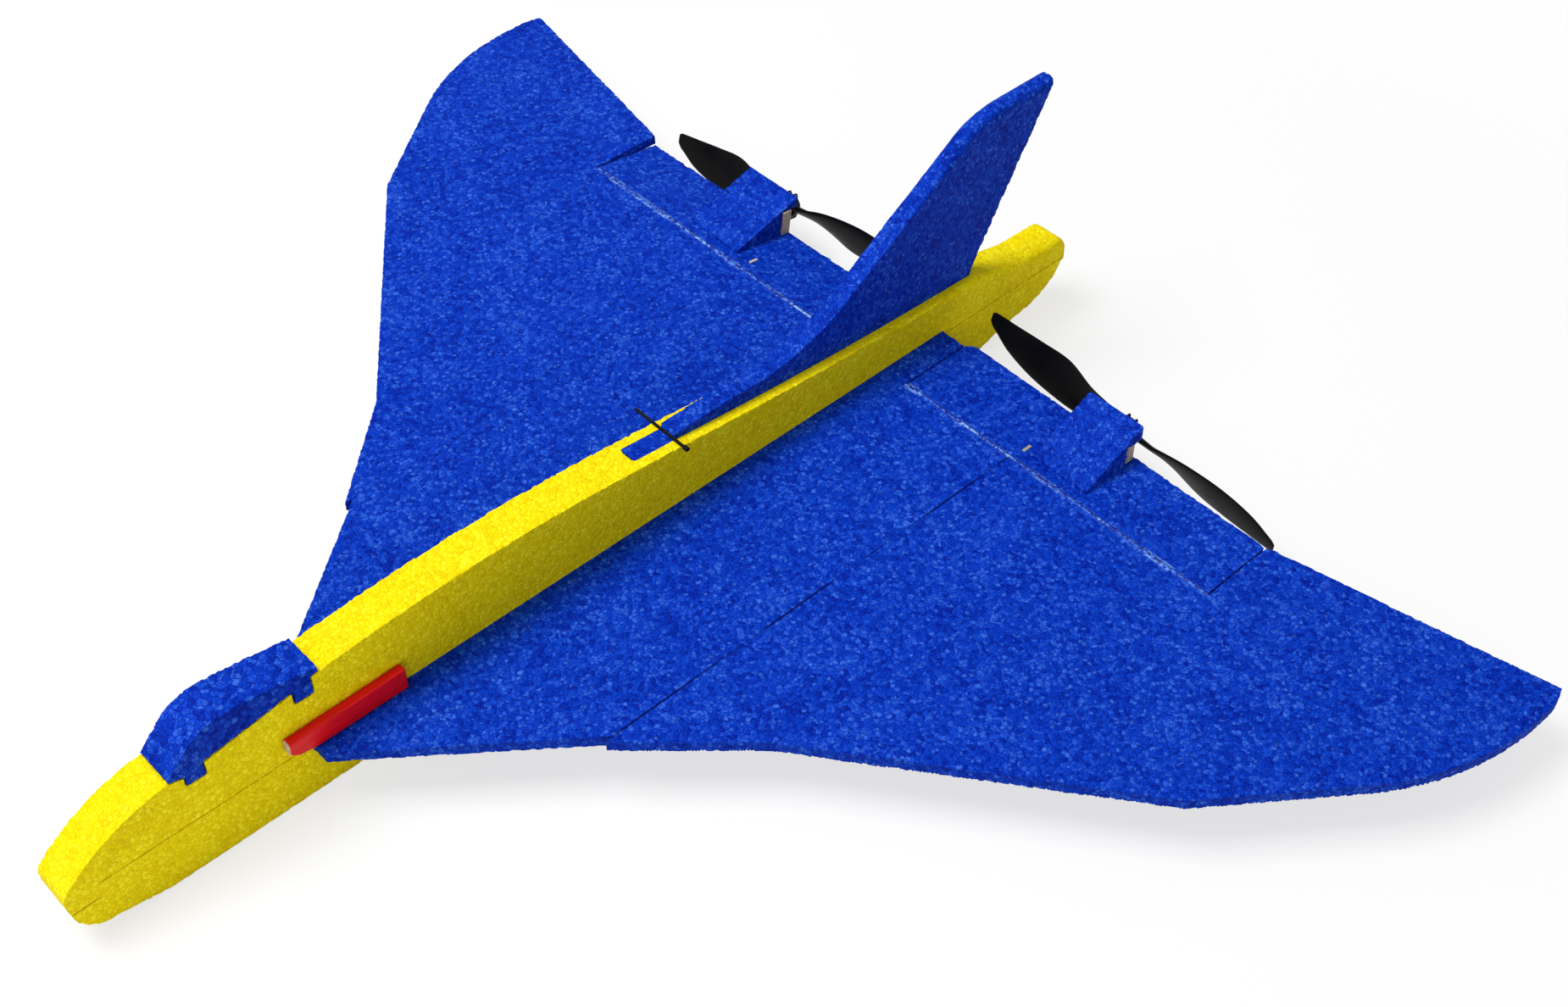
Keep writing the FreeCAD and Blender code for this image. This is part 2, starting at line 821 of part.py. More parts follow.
def make_wing_inner(name, side):
    body = new_body(f"wing_inner_{name}")
    rear = -size.bead_radius
    slab(
        body, "XY_Plane", -SHEET, dim(0),
        (dim(0), -size.apex_ahead),
        (side * size.apex_half_width, -size.apex_ahead),
        (side * size.panel_seam, -size.inner_edge_ahead),
        (side * size.panel_seam, rear),
        (side * size.elevon_inner, rear),
        (side * size.elevon_inner, size.stub_trail),
        (dim(0), size.stub_trail),
    )
    spar_groove(body)
    on_airframe(body)


def make_wing_outer(name, side):
    body = new_body(f"wing_outer_{name}")
    rear = -size.bead_radius
    tip = size.half_span
    trail = size.tip_trail
    side_end = trail - size.tip_side_end
    heel = side * (tip - size.tip_heel_inset)
    slab(
        body, "XY_Plane", -SHEET, dim(0),
        (side * size.panel_seam, rear),
        (side * size.panel_seam, -size.outer_corner_ahead),
        (side * size.kink_out, -size.kink_ahead),
        (side * (tip - size.tip_width), -size.tip_kink_ahead),
        (side * (tip - size.tip_corner_inset), trail - size.tip_corner_ahead),
        (side * (tip - size.tip_bow_inset), trail - size.tip_bow_ahead, side * tip, side_end),
        (side * (tip - size.tip_heel_bow), trail - size.tip_heel_ahead, heel, trail),
        (side * size.elevon_outer, size.elevon_tip_chord + size.trail_step),
        (side * size.elevon_outer, rear),
    )
    spar_groove(body)
    on_airframe(body)


def spar_groove(body):
    """A square groove across the underside, for the spar."""
    reach = size.spar_half_length + size.glue_gap
    half = size.spar_radius + size.glue_gap
    box(
        body,
        (-reach, -size.spar_ahead - half, -SHEET - PAST),
        (reach, -size.spar_ahead + half, -SHEET + 2 * half),
        cut=True,
    )


def make_spar():
    body = new_body("wing_spar")
    base = (-size.spar_half_length, -size.spar_ahead, size.spar_radius - SHEET)
    rod(body, ALONG_X, base, size.spar_radius, 2 * size.spar_half_length)
    on_airframe(body)


def elevon_ends():
    return size.elevon_inner + size.elevon_end_gap, size.elevon_outer - size.elevon_end_gap


def make_hinge_bead(name, side):
    body = new_body(f"hinge_bead_{name}")
    inner, outer = elevon_ends()
    start = inner if side == PORT else -outer
    rod(body, ALONG_X, (start, dim(0), HINGE_Z), size.bead_radius, outer - inner)
    on_airframe(body)


def make_elevon(name, side):
    body = new_body(f"elevon_{name}")
    inner, outer = elevon_ends()
    front = size.elevon_front_gap
    root = size.elevon_root_chord
    corner = root - size.elevon_corner
    slab(
        body, "XY_Plane", -SHEET, dim(0),
        (side * inner, front),
        (side * outer, front),
        (side * outer, size.elevon_tip_chord),
        (side * (inner + size.elevon_corner_run), root),
        (side * (inner + size.elevon_corner_bow), root - size.elevon_corner_dip, side * inner, corner),
    )
    wedge = plane_sketch(body, "YZ_Plane")
    slope = size.elevon_bevel / SHEET
    below = -SHEET - PAST
    outline(
        wedge,
        (front, dim(0)),
        (front - PAST, dim(0)),
        (front - PAST, below),
        (front - slope * below, below),
    )
    bevel = body.newObject("PartDesign::Pocket", "Bevel")
    bevel.Profile = wedge
    bevel.Midplane = True
    bind(bevel, "Length", 3 * size.elevon_outer)
    station = side * of_pod(side, "pod_station")
    mount_front = of_pod(side, "mount_aft")
    mount_back = mount_front + size.mount_thickness
    tab = size.mount_tab_width / 2 + size.glue_gap
    box(
        body,
        (station - tab, mount_front - size.glue_gap, below),
        (station + tab, mount_back + size.glue_gap, PAST),
        cut=True,
    )
    notch = size.motor_radius + size.motor_notch_margin
    notch_back = mount_back + size.motor_notch_depth
    box(body, (station - notch, mount_back, below), (station + notch, notch_back, PAST), cut=True)
    half_horn = size.plate_thickness / 2 + size.glue_gap
    horn = side * size.horn_station
    horn_front = size.horn_front_aft - size.glue_gap
    horn_back = size.horn_back_aft + size.glue_gap
    box(body, (horn - half_horn, horn_front, below), (horn + half_horn, horn_back, PAST), cut=True)
    on_elevon(body, side)


# ---------------------------------------------------------------- fin and its pin


def make_fin():
    body = new_body("fin")
    front = size.glue_gap - size.fin_front_ahead
    floor = size.fin_slot_floor
    top = size.fin_height
    end = size.fin_end_aft
    step = size.pin_radius + size.glue_gap - size.pin_ahead
    fall = (size.deck_at_joint - size.deck_at_pin) / (size.deck_joint_ahead - size.pin_ahead)
    tongue_back = size.deck_at_pin - 2 * size.glue_gap
    tongue_front = tongue_back + fall * (size.fin_front_ahead - size.pin_ahead)
    strake = size.strake_height
    foot = size.deck_at_fin_end + size.fin_foot_lip
    brow = end + size.fin_brow_back
    slab(
        body, "YZ_Plane", -size.fin_sheet / 2, size.fin_sheet / 2,
        (front, floor),
        (end, floor),
        (end, foot),
        (end + size.fin_foot_back, foot + size.fin_foot_rise),
        (end + size.fin_lean, top - size.fin_top_round),
        (end + size.fin_lean_top, top),
        (end + size.fin_top_front, top),
        (brow, top - size.fin_brow_drop, end - size.fin_shoulder_ahead, top - size.fin_shoulder_drop),
        (size.fin_bow_aft, top - size.fin_bow_drop, -size.fin_root_ahead, strake + size.fin_root_rise),
        (
            -size.strake_bow_ahead, strake + size.strake_bow_rise,
            -size.strake_end_ahead, strake + size.strake_end_rise,
        ),
        (step, strake),
        (step, tongue_back),
        (-size.pin_ahead, tongue_back),
        (front, tongue_front),
    )
    on_airframe(body)


def make_fin_pin():
    body = new_body("fin_pin")
    height = size.deck_at_pin + size.pin_radius + size.glue_gap
    start = -HALF_WIDTH - size.pin_starboard_stand
    end = HALF_WIDTH + size.pin_port_stand
    rod(body, ALONG_X, (start, -size.pin_ahead, height), size.pin_radius, end - start)
    cap_radius = size.pin_radius + size.pin_cap_wall
    rod(body, ALONG_X, (end, -size.pin_ahead, height), cap_radius, size.pin_cap_length)
    on_airframe(body)


# ---------------------------------------------------------------- radio gear


def make_battery():
    body = new_body("battery")
    bay_front, bay_back = bay_span()
    front = (bay_front + bay_back - size.battery_length) / 2
    half = size.battery_width / 2
    floor = -size.bay_depth
    box(body, (-half, front, floor), (half, front + size.battery_length, floor + size.battery_height))
    on_airframe(body)


def make_receiver():
    body = new_body("receiver")
    back = receiver_span()[1] - size.inside_clearance
    half = size.receiver_width / 2
    floor = size.receiver_floor
    box(body, (-half, back - size.receiver_length, floor), (half, back, floor + size.receiver_height))
    on_airframe(body)


def make_controller(name, side):
    body = new_body(f"speed_controller_{name}")
    front = size.inside_clearance - size.controller_ahead
    side_box(
        body, side,
        (size.controller_inset, front, dim(0)),
        (
            size.controller_inset + size.controller_width,
            front + size.controller_length,
            size.controller_height,
        ),
    )
    on_airframe(body)


def servo_top():
    """Distance from the centreline to the servo's turret face, just inboard of its arm."""
    return size.horn_station - size.plate_thickness / 2 - size.servo_arm_gap


def make_servo(name, side):
    """A small servo lying on its side against the wing's underside, with its shaft outboard."""
    body = new_body(f"servo_{name}")
    top = servo_top()
    shoulder = top - size.servo_turret
    bottom = shoulder - size.servo_height
    back = size.servo_shaft_inset - size.servo_ahead
    front = back - size.servo_length
    low = -SHEET - size.servo_thickness
    ear = size.servo_ear_reach
    ear_foot = shoulder - size.servo_ear_drop
    ear_top = ear_foot + size.servo_ear_thickness
    side_box(body, side, (bottom, front, low), (shoulder, back, -SHEET))
    side_box(body, side, (ear_foot, front - ear, low), (ear_top, back + ear, -SHEET))
    shaft = (-size.servo_ahead, SHAFT_Z)
    side_rod(body, side, shoulder, shaft, size.servo_thickness / 2, size.servo_turret)
    bore = size.servo_stub_radius + size.running_clearance
    depth = size.servo_bore_depth
    side_rod(body, side, top - depth, shaft, bore, depth, cut=True)
    for middle in (front - ear / 2, back + ear / 2):
        through = size.servo_ear_thickness + 2 * PAST
        side_rod(body, side, ear_foot - PAST, (middle, SHAFT_Z), size.servo_ear_hole, through, cut=True)
    on_airframe(body)


def make_servo_arm(name, side):
    """The arm hangs straight down from the servo shaft, with its output stub pressed in one piece."""
    body = new_body(f"servo_arm_{name}")
    inner = size.horn_station - size.plate_thickness / 2
    shaft_y = -size.servo_ahead
    tip = SHAFT_Z - size.linkage_arm
    hub = size.arm_hub_radius
    end = size.arm_tip_radius
    side_slab(
        body, side, inner, inner + size.plate_thickness,
        (shaft_y - hub, SHAFT_Z),
        (shaft_y, SHAFT_Z + hub, shaft_y + hub, SHAFT_Z),
        (shaft_y + end, tip),
        (shaft_y, tip - end, shaft_y - end, tip),
    )
    stub = size.servo_stub_length
    overlap = size.servo_arm_gap
    side_rod(body, side, inner - stub, (shaft_y, SHAFT_Z), size.servo_stub_radius, stub + overlap)
    linkage_hole(body, side, inner, (shaft_y, tip))
    on_servo_shaft(body, side)


def linkage_hole(body, side, inner, centre):
    """The pushrod's hole, through a plate that starts at inner."""
    hole = size.wire_radius + size.pivot_clearance
    side_rod(body, side, inner - PAST, centre, hole, size.plate_thickness + 2 * PAST, cut=True)


def make_arm_screw(name, side):
    body = new_body(f"arm_screw_{name}")
    face = size.horn_station + size.plate_thickness / 2
    centre = (-size.servo_ahead, SHAFT_Z)
    side_rod(body, side, face, centre, size.arm_screw_radius, size.arm_screw_head)
    on_servo_shaft(body, side)


def make_control_horn(name, side):
    """A plate glued through the elevon, whose hole hangs straight below the hinge line."""
    body = new_body(f"control_horn_{name}")
    inner = size.horn_station - size.plate_thickness / 2
    outer = inner + size.plate_thickness
    hole_z = HINGE_Z - size.linkage_arm
    margin = size.horn_hole_margin
    low = hole_z - margin
    side_slab(
        body, side, inner, outer,
        (size.horn_front_aft, size.horn_top),
        (size.horn_back_aft, size.horn_top),
        (size.horn_back_aft, -SHEET - size.horn_shank_drop),
        (margin, low),
        (-margin, low, -size.horn_nose_ahead, hole_z + size.horn_nose_rise),
        (size.horn_front_aft, -SHEET - size.horn_throat_drop),
    )
    flange = size.horn_flange_side
    side_box(
        body, side,
        (inner - flange, size.horn_flange_front_aft, -SHEET - size.horn_flange_thickness),
        (outer + flange, size.horn_flange_back_aft, -SHEET),
    )
    linkage_hole(body, side, inner, (dim(0), hole_z))
    on_elevon(body, side)


def make_pushrod(name, side):
    """A steel wire with a Z-bend at each end, through the arm's hole and the horn's hole."""
    run = side * (size.horn_station + size.pushrod_offset).value
    end = side * (size.horn_station - size.pushrod_offset).value
    tail = size.pushrod_tail.value
    arm_y = -size.servo_ahead.value
    arm_z = (SHAFT_Z - size.linkage_arm).value
    horn_z = (HINGE_Z - size.linkage_arm).value
    corners = [
        Vector(end, arm_y - tail, arm_z),
        Vector(end, arm_y, arm_z),
        Vector(run, arm_y, arm_z),
        Vector(run, 0, horn_z),
        Vector(end, 0, horn_z),
        Vector(end, tail, horn_z),
    ]
    piece = wire_solid(f"pushrod_{name}", corners, size.pushrod_bend.value, size.wire_radius.value)
    on_pushrod(piece, side)


# ---------------------------------------------------------------- motor pods


def make_pod(name, side):
    """A wedge of foam that fairs the motor, standing over the plywood mount behind it."""
    body = new_body(f"motor_pod_{name}")
    station = of_pod(side, "pod_station")
    mount = of_pod(side, "mount_aft")
    front = size.pod_front_aft
    back = mount + size.mount_thickness + size.pod_overhang
    side_slab(
        body, side, station - of_pod(side, "pod_inboard"), station + of_pod(side, "pod_outboard"),
        (front, dim(0)),
        (front, size.pod_lip),
        (back, of_pod(side, "pod_height")),
        (back, of_pod(side, "mount_height")),
        (mount, of_pod(side, "mount_height")),
        (mount, dim(0)),
    )
    on_elevon(body, side)


def make_motor_mount(name, side):
    """The plywood firewall, whose tab goes down through the elevon."""
    body = new_body(f"motor_mount_{name}")
    half = size.mount_width / 2
    tab = size.mount_tab_width / 2
    elevon_top = -of_pod(side, "motor_height")
    top = elevon_top + of_pod(side, "mount_height")
    slab(
        body, "XZ_Plane", dim(0), size.mount_thickness,
        (-half, elevon_top),
        (-tab, elevon_top),
        (-tab, elevon_top - size.mount_drop),
        (tab, elevon_top - size.mount_drop),
        (tab, elevon_top),
        (half, elevon_top),
        (half, top),
        (-half, top),
    )
    front = -size.mount_thickness - PAST
    through = size.mount_thickness + 2 * PAST
    rod(body, ALONG_Y, (dim(0), front, dim(0)), size.mount_shaft_hole, through, cut=True)
    for across, up in screw_stations():
        rod(body, ALONG_Y, (across, front, up), SCREW_HOLE, through, cut=True)
    on_motor(body, side)


def screw_stations():
    """The four motor screws, on a circle around the shaft."""
    reach = size.motor_radius - size.motor_screw_from_rim
    return [(reach, dim(0)), (-reach, dim(0)), (dim(0), reach), (dim(0), -reach)]


def make_motor_screws(name, side):
    body = new_body(f"motor_screws_{name}")
    for across, up in screw_stations():
        tip = size.motor_screw_inset - size.mount_thickness
        length = size.motor_base + size.motor_screw_head_height - tip
        rod(body, ALONG_Y, (across, tip, up), size.motor_screw_radius, length)
        head = (across, size.motor_base, up)
        rod(body, ALONG_Y, head, size.motor_screw_head, size.motor_screw_head_height)
    on_motor(body, side)


def make_stator(name, side):
    """Base plate, bearing tube and wound core of the outrunner."""
    body = new_body(f"motor_stator_{name}")
    base = size.motor_base
    core = base + size.core_lift
    core_end = base + size.bell_length - size.core_end_gap
    tube_end = base + size.bell_length - size.bearing_end_gap
    rod(body, ALONG_Y, (dim(0), dim(0), dim(0)), size.motor_radius - size.base_inset, base)
    rod(body, ALONG_Y, (dim(0), dim(0), dim(0)), size.bearing_radius, tube_end)
    rod(body, ALONG_Y, (dim(0), core, dim(0)), size.motor_radius - size.core_inset, core_end - core)
    bore = size.shaft_radius + size.running_clearance
    rod(body, ALONG_Y, (dim(0), -PAST, dim(0)), bore, tube_end + 2 * PAST, cut=True)
    for across, up in screw_stations():
        rod(body, ALONG_Y, (across, -PAST, up), SCREW_HOLE, base + 2 * PAST, cut=True)
    on_motor(body, side)


def make_bell(name, side):
    """The turning can of the outrunner, closed at its back end."""
    body = new_body(f"motor_bell_{name}")
    rod(body, ALONG_Y, (dim(0), BELL_FRONT, dim(0)), size.motor_radius, size.bell_length)
    inside = BELL_BACK - size.bell_end - BELL_FRONT
    open_front = (dim(0), BELL_FRONT - PAST, dim(0))
    rod(body, ALONG_Y, open_front, size.motor_radius - size.bell_wall, inside + PAST, cut=True)
    rod(body, ALONG_Y, open_front, size.shaft_radius, size.bell_length + 2 * PAST, cut=True)
    on_rotor(body, side)


def make_shaft(name, side):
    body = new_body(f"motor_shaft_{name}")
    front = -size.shaft_front
    rod(body, ALONG_Y, (dim(0), front, dim(0)), size.shaft_radius, HUB_BACK + size.shaft_end - front)
    on_rotor(body, side)


def make_prop_saver(name, side):
    """A collar clamped on the shaft, with two screws that the rubber ring hooks over."""
    body = new_body(f"prop_saver_{name}")
    rod(body, ALONG_Y, (dim(0), BELL_BACK, dim(0)), size.saver_radius, size.saver_length)
    spigot = size.hub_length - PAST
    rod(body, ALONG_Y, (dim(0), SAVER_BACK, dim(0)), size.saver_spigot_radius, spigot)
    start = size.saver_screw_start
    reach = size.hub_radius + 2 * size.ring_radius + size.saver_screw_end
    for foot in (start, -reach):
        rod(body, ALONG_Z, (dim(0), SAVER_MIDDLE, foot), size.saver_screw_radius, reach - start)
    through = HUB_BACK - BELL_BACK
    rod(body, ALONG_Y, (dim(0), BELL_BACK - PAST, dim(0)), size.shaft_radius, through, cut=True)
    on_rotor(body, side)


def blade_section(body, radius, chord, thickness, sweep):
    """One lens-shaped section of the blade, swept back along its chord and set at its pitch angle."""
    sketch = plane_sketch(body, "YZ_Plane", radius)
    pitch = f"atan({size.propeller_pitch.text} / (2 * pi * {radius.text}))"
    angle = f"min({pitch}; {size.blade_root_angle.text} * 1 deg)"
    sketch.setExpression("AttachmentOffset.Rotation.Axis.z", "1")
    sketch.setExpression("AttachmentOffset.Rotation.Angle", angle)
    middle = -sweep
    half_chord = chord / 2
    half_thick = thickness / 2
    outline(
        sketch,
        (dim(0), middle - half_chord),
        (half_thick, middle, dim(0), middle + half_chord),
        (-half_thick, middle, dim(0), middle - half_chord),
    )
    return sketch


def make_propeller(name, side):
    """Two wide, thin blades on a plain hub. Both sides use the same propeller.

    Each station gives a blade section's radius, chord, thickness and sweep towards the trailing edge.
    """
    body = new_body(f"propeller_{name}")
    middle = (HUB_FRONT + HUB_BACK) / 2
    tip = size.propeller_radius
    widest = size.blade_chord
    stations = [
        (size.blade_start, size.blade_root_chord, size.blade_root_thickness, dim(0)),
        (size.blade_neck, size.blade_neck_chord, size.blade_neck_thickness, -widest * 0.03),
        (tip * 0.29, widest * 0.74, dim(2.6), -widest * 0.08),
        (tip * 0.47, widest, dim(2.1), dim(0)),
        (tip * 0.66, widest * 0.96, dim(1.7), dim(0)),
        (tip * 0.84, widest * 0.74, dim(1.3), widest * 0.05),
        (tip * 0.96, widest * 0.42, dim(1.0), widest * 0.15),
        (tip, widest * 0.14, dim(0.8), widest * 0.24),
    ]
    sketches = [blade_section(body, *station) for station in stations]
    blade = body.newObject("PartDesign::AdditiveLoft", "Blade")
    blade.Profile = sketches[0]
    blade.Sections = sketches[1:]
    pair = body.newObject("PartDesign::PolarPattern", "Blades")
    pair.Originals = [blade]
    axis = [item for item in body.Origin.OriginFeatures if item.Role == "Y_Axis"]
    pair.Axis = (axis[0], [""])
    pair.Angle = 360
    pair.Occurrences = 2
    body.Tip = pair
    rod(body, ALONG_Y, (dim(0), -size.hub_length / 2, dim(0)), size.hub_radius, size.hub_length)
    bore = size.saver_spigot_radius + size.hub_gap
    rod(body, ALONG_Y, (dim(0), -size.hub_length, dim(0)), bore, 2 * size.hub_length, cut=True)
    on_rotor(body, side, middle)


def make_prop_ring(name, side):
    """The rubber ring: hooked over one saver screw, across the hub's back and over the other."""
    across = size.ring_half_gap.value
    clear = size.ring_radius + size.glue_gap
    front_y = (SAVER_MIDDLE - size.saver_screw_radius - clear).value
    back_y = (HUB_BACK + clear).value
    side_z = (size.hub_radius + clear).value
    corners = []
    for x, z in ((across, side_z), (across, -side_z), (-across, -side_z), (-across, side_z)):
        near = Vector(x, front_y, z)
        far = Vector(x, back_y, z)
        corners += [near, far] if (x > 0) == (z > 0) else [far, near]
    bend = size.ring_bend.value
    piece = wire_solid(f"prop_ring_{name}", corners, bend, size.ring_radius.value, closed=True)
    on_rotor(piece, side)


# ---------------------------------------------------------------- build and export


def build():
    make_fuselage_front()
    make_fuselage_rear()
    make_fuselage_keel()
    make_canopy()
    make_spar()
    make_fin()
    make_fin_pin()
    make_battery()
    make_receiver()
    for name, side in SIDES.items():
        make_intake_strip(name, side)
        make_wing_inner(name, side)
        make_wing_outer(name, side)
        make_hinge_bead(name, side)
        make_elevon(name, side)
        make_controller(name, side)
        make_servo(name, side)
        make_servo_arm(name, side)
        make_arm_screw(name, side)
        make_control_horn(name, side)
        make_pushrod(name, side)
        make_pod(name, side)
        make_motor_mount(name, side)
        make_motor_screws(name, side)
        make_stator(name, side)
        make_bell(name, side)
        make_shaft(name, side)
        make_prop_saver(name, side)
        make_propeller(name, side)
        make_prop_ring(name, side)
    doc.recompute()


def check():
    """Stop on any failed feature and on any piece that is not a sound solid."""
    faults = [item.Name for item in doc.Objects if {"Invalid", "Error"} & set(item.State)]
    for piece in nodes:
        shape = piece.Shape
        if shape.isNull() or not shape.isValid() or not shape.Solids:
            faults.append(piece.Label)
    if faults:
        raise RuntimeError("failed pieces: " + ", ".join(faults))


def export():
    os.makedirs("parts", exist_ok=True)
    for piece in nodes:
        piece.Shape.exportStep(f"parts/{piece.Label}.step")


build()
check()
export()
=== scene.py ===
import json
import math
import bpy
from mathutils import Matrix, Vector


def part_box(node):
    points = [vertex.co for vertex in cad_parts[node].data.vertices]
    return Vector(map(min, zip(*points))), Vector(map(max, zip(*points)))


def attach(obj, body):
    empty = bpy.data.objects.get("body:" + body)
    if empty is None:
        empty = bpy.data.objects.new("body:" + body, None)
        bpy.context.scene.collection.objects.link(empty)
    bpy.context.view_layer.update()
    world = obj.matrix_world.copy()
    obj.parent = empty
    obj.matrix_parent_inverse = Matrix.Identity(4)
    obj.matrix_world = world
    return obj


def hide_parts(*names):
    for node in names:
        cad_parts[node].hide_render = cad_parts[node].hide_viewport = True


bl_info = {
    "name": "Foam flying wing",
    "version": (1, 0, 0),
    "blender": (4, 5, 0),
    "location": "3D View > Sidebar > Flying wing",
    "description": "Finishes a twin-motor foam flying wing and sets it on a white stage",
    "category": "Object",
}

import bmesh
import bpy
from mathutils import Matrix, Vector, bvhtree, geometry, kdtree

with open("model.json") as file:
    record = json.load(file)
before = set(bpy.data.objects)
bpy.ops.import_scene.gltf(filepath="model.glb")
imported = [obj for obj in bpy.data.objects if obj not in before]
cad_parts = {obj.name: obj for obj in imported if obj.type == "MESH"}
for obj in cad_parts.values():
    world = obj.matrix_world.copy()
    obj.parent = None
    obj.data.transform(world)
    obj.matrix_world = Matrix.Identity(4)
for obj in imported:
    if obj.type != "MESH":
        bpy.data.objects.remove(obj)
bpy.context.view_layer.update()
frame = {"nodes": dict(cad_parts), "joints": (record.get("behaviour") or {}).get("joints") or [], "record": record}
BODIES = frame["record"]["behaviour"]["bodies"]
BODY_OF = {node: body for body, members in BODIES.items() for node in members}
SLOT_OF = {part["node"]: part["material_slot"] for part in frame["record"]["subparts"]}
JOINTS = {joint["name"]: joint for joint in frame["joints"]}
SIDES = ("port", "starboard")
MM = 0.001


# ---------------------------------------------------------------- sizes and colours


class FoamSettings(bpy.types.PropertyGroup):
    """Bead foam: how its beads look and how rough its surface is."""

    bead: bpy.props.FloatProperty(
        name="Bead", description="Width of one bead", default=2.1 * MM, unit="LENGTH"
    )
    grid: bpy.props.FloatProperty(
        name="Grid", description="Spacing of the surface mesh", default=0.9 * MM, unit="LENGTH"
    )
    relief: bpy.props.FloatProperty(
        name="Relief", description="Depth of the joints between beads", default=0.12 * MM, unit="LENGTH"
    )
    waver: bpy.props.FloatProperty(
        name="Waver", description="How far a hand-cut face strays from flat", default=0.16 * MM,
        unit="LENGTH",
    )
    chip: bpy.props.FloatProperty(
        name="Chip", description="How deep beads have torn out along a cut edge", default=0.35 * MM,
        unit="LENGTH",
    )
    blue: bpy.props.FloatVectorProperty(
        name="Blue", description="Blue beads", subtype="COLOR",
        default=(0.0015, 0.039, 0.47), min=0, max=1,
    )
    blue_deep: bpy.props.FloatVectorProperty(
        name="Deep blue", description="Darker beads and joints", subtype="COLOR",
        default=(0.0005, 0.009, 0.23), min=0, max=1,
    )
    # Paler beads, and also the colour of the painted highlights on a few bead crowns.
    blue_pale: bpy.props.FloatVectorProperty(
        name="Pale blue", description="Beads that catch the light", subtype="COLOR",
        default=(0.05, 0.17, 0.70), min=0, max=1,
    )
    yellow: bpy.props.FloatVectorProperty(
        name="Yellow", description="Yellow beads", subtype="COLOR",
        default=(0.87, 0.71, 0.003), min=0, max=1,
    )
    yellow_deep: bpy.props.FloatVectorProperty(
        name="Deep yellow", description="Darker beads and joints", subtype="COLOR",
        default=(0.72, 0.54, 0.002), min=0, max=1,
    )
    # Paler beads, and also the colour of the painted highlights on a few bead crowns.
    yellow_pale: bpy.props.FloatVectorProperty(
        name="Pale yellow", description="Beads that catch the light", subtype="COLOR",
        default=(0.96, 0.90, 0.03), min=0, max=1,
    )


class TrimSettings(bpy.types.PropertyGroup):
    """Paint, wood, plastic, metal and glue."""

    red: bpy.props.FloatVectorProperty(
        name="Red paint", subtype="COLOR", default=(0.78, 0.003, 0.004), min=0, max=1,
        description="Paint on the intake strips",
    )
    wood: bpy.props.FloatVectorProperty(
        name="Wood", subtype="COLOR", default=(0.62, 0.49, 0.34), min=0, max=1, description="Bare wood"
    )
    glue: bpy.props.FloatVectorProperty(
        name="Glue", subtype="COLOR", default=(0.24, 0.45, 0.86), min=0, max=1, description="Dried glue"
    )
    nylon: bpy.props.FloatVectorProperty(
        name="Nylon", subtype="COLOR", default=(0.36, 0.36, 0.30), min=0, max=1, description="White nylon"
    )
    black: bpy.props.FloatVectorProperty(
        name="Black plastic", subtype="COLOR", default=(0.0035, 0.0035, 0.004), min=0, max=1,
        description="Propellers and rods",
    )


class PropellerSettings(bpy.types.PropertyGroup):
    """The propeller that both motors turn."""

    radius: bpy.props.FloatProperty(
        name="Radius", description="Hub centre to tip", default=87 * MM, unit="LENGTH"
    )
    pitch: bpy.props.FloatProperty(
        name="Pitch", description="Advance in a turn", default=90 * MM, unit="LENGTH"
    )
    chord: bpy.props.FloatProperty(
        name="Chord", description="Widest chord", default=21 * MM, unit="LENGTH"
    )
    root_angle: bpy.props.FloatProperty(
        name="Root angle", description="Steepest blade angle", default=math.radians(40), subtype="ANGLE"
    )
    port_rest: bpy.props.FloatProperty(
        name="Port rest", description="Where the port blades stopped",
        default=math.radians(5.8), subtype="ANGLE",
    )
    starboard_rest: bpy.props.FloatProperty(
        name="Starboard rest", description="Where the starboard blades stopped",
        default=math.radians(-5.6), subtype="ANGLE",
    )


class StageSettings(bpy.types.PropertyGroup):
    """Camera, lamps and floor."""

    lens: bpy.props.FloatProperty(name="Lens", description="Focal length in millimetres", default=47.4)
    azimuth: bpy.props.FloatProperty(
        name="Azimuth", description="Camera's bearing, from port towards the nose",
        default=math.radians(42.94), subtype="ANGLE",
    )
    elevation: bpy.props.FloatProperty(
        name="Elevation", description="Camera's height above the level",
        default=math.radians(46.1), subtype="ANGLE",
    )
    distance: bpy.props.FloatProperty(
        name="Distance", description="Camera to the point it looks at", default=0.9123, unit="LENGTH"
    )
    target: bpy.props.FloatVectorProperty(
        name="Target", description="The point that the camera looks at", subtype="XYZ",
        default=(0.0423, 0.0578, 0.031), unit="LENGTH",
    )
    key: bpy.props.FloatProperty(name="Key", description="Power of the main lamp, in watts", default=62)
    fill: bpy.props.FloatProperty(name="Fill", description="Power of the fill lamp, in watts", default=12)
    sky: bpy.props.FloatProperty(name="Sky", description="Strength of the surroundings", default=0.35)


SETTINGS = {
    "wing_foam": FoamSettings,
    "wing_trim": TrimSettings,
    "wing_propeller": PropellerSettings,
    "wing_stage": StageSettings,
}


# ---------------------------------------------------------------- node trees


VALUE, COLOUR, VECTOR = "NodeSocketFloat", "NodeSocketColor", "NodeSocketVector"
SHAPE, MATERIAL = "NodeSocketGeometry", "NodeSocketMaterial"
SURFACE = [("Colour", COLOUR), ("Roughness", VALUE), ("Height", VALUE)]


def once(build):
    """Build a node group or material the first time it is asked for, and give back the same one later."""
    made = {}

    def fetch(*choice, **named):
        key = (choice, tuple(named.items()))
        if key not in made:
            made[key] = build(*choice, **named)
        return made[key]

    return fetch


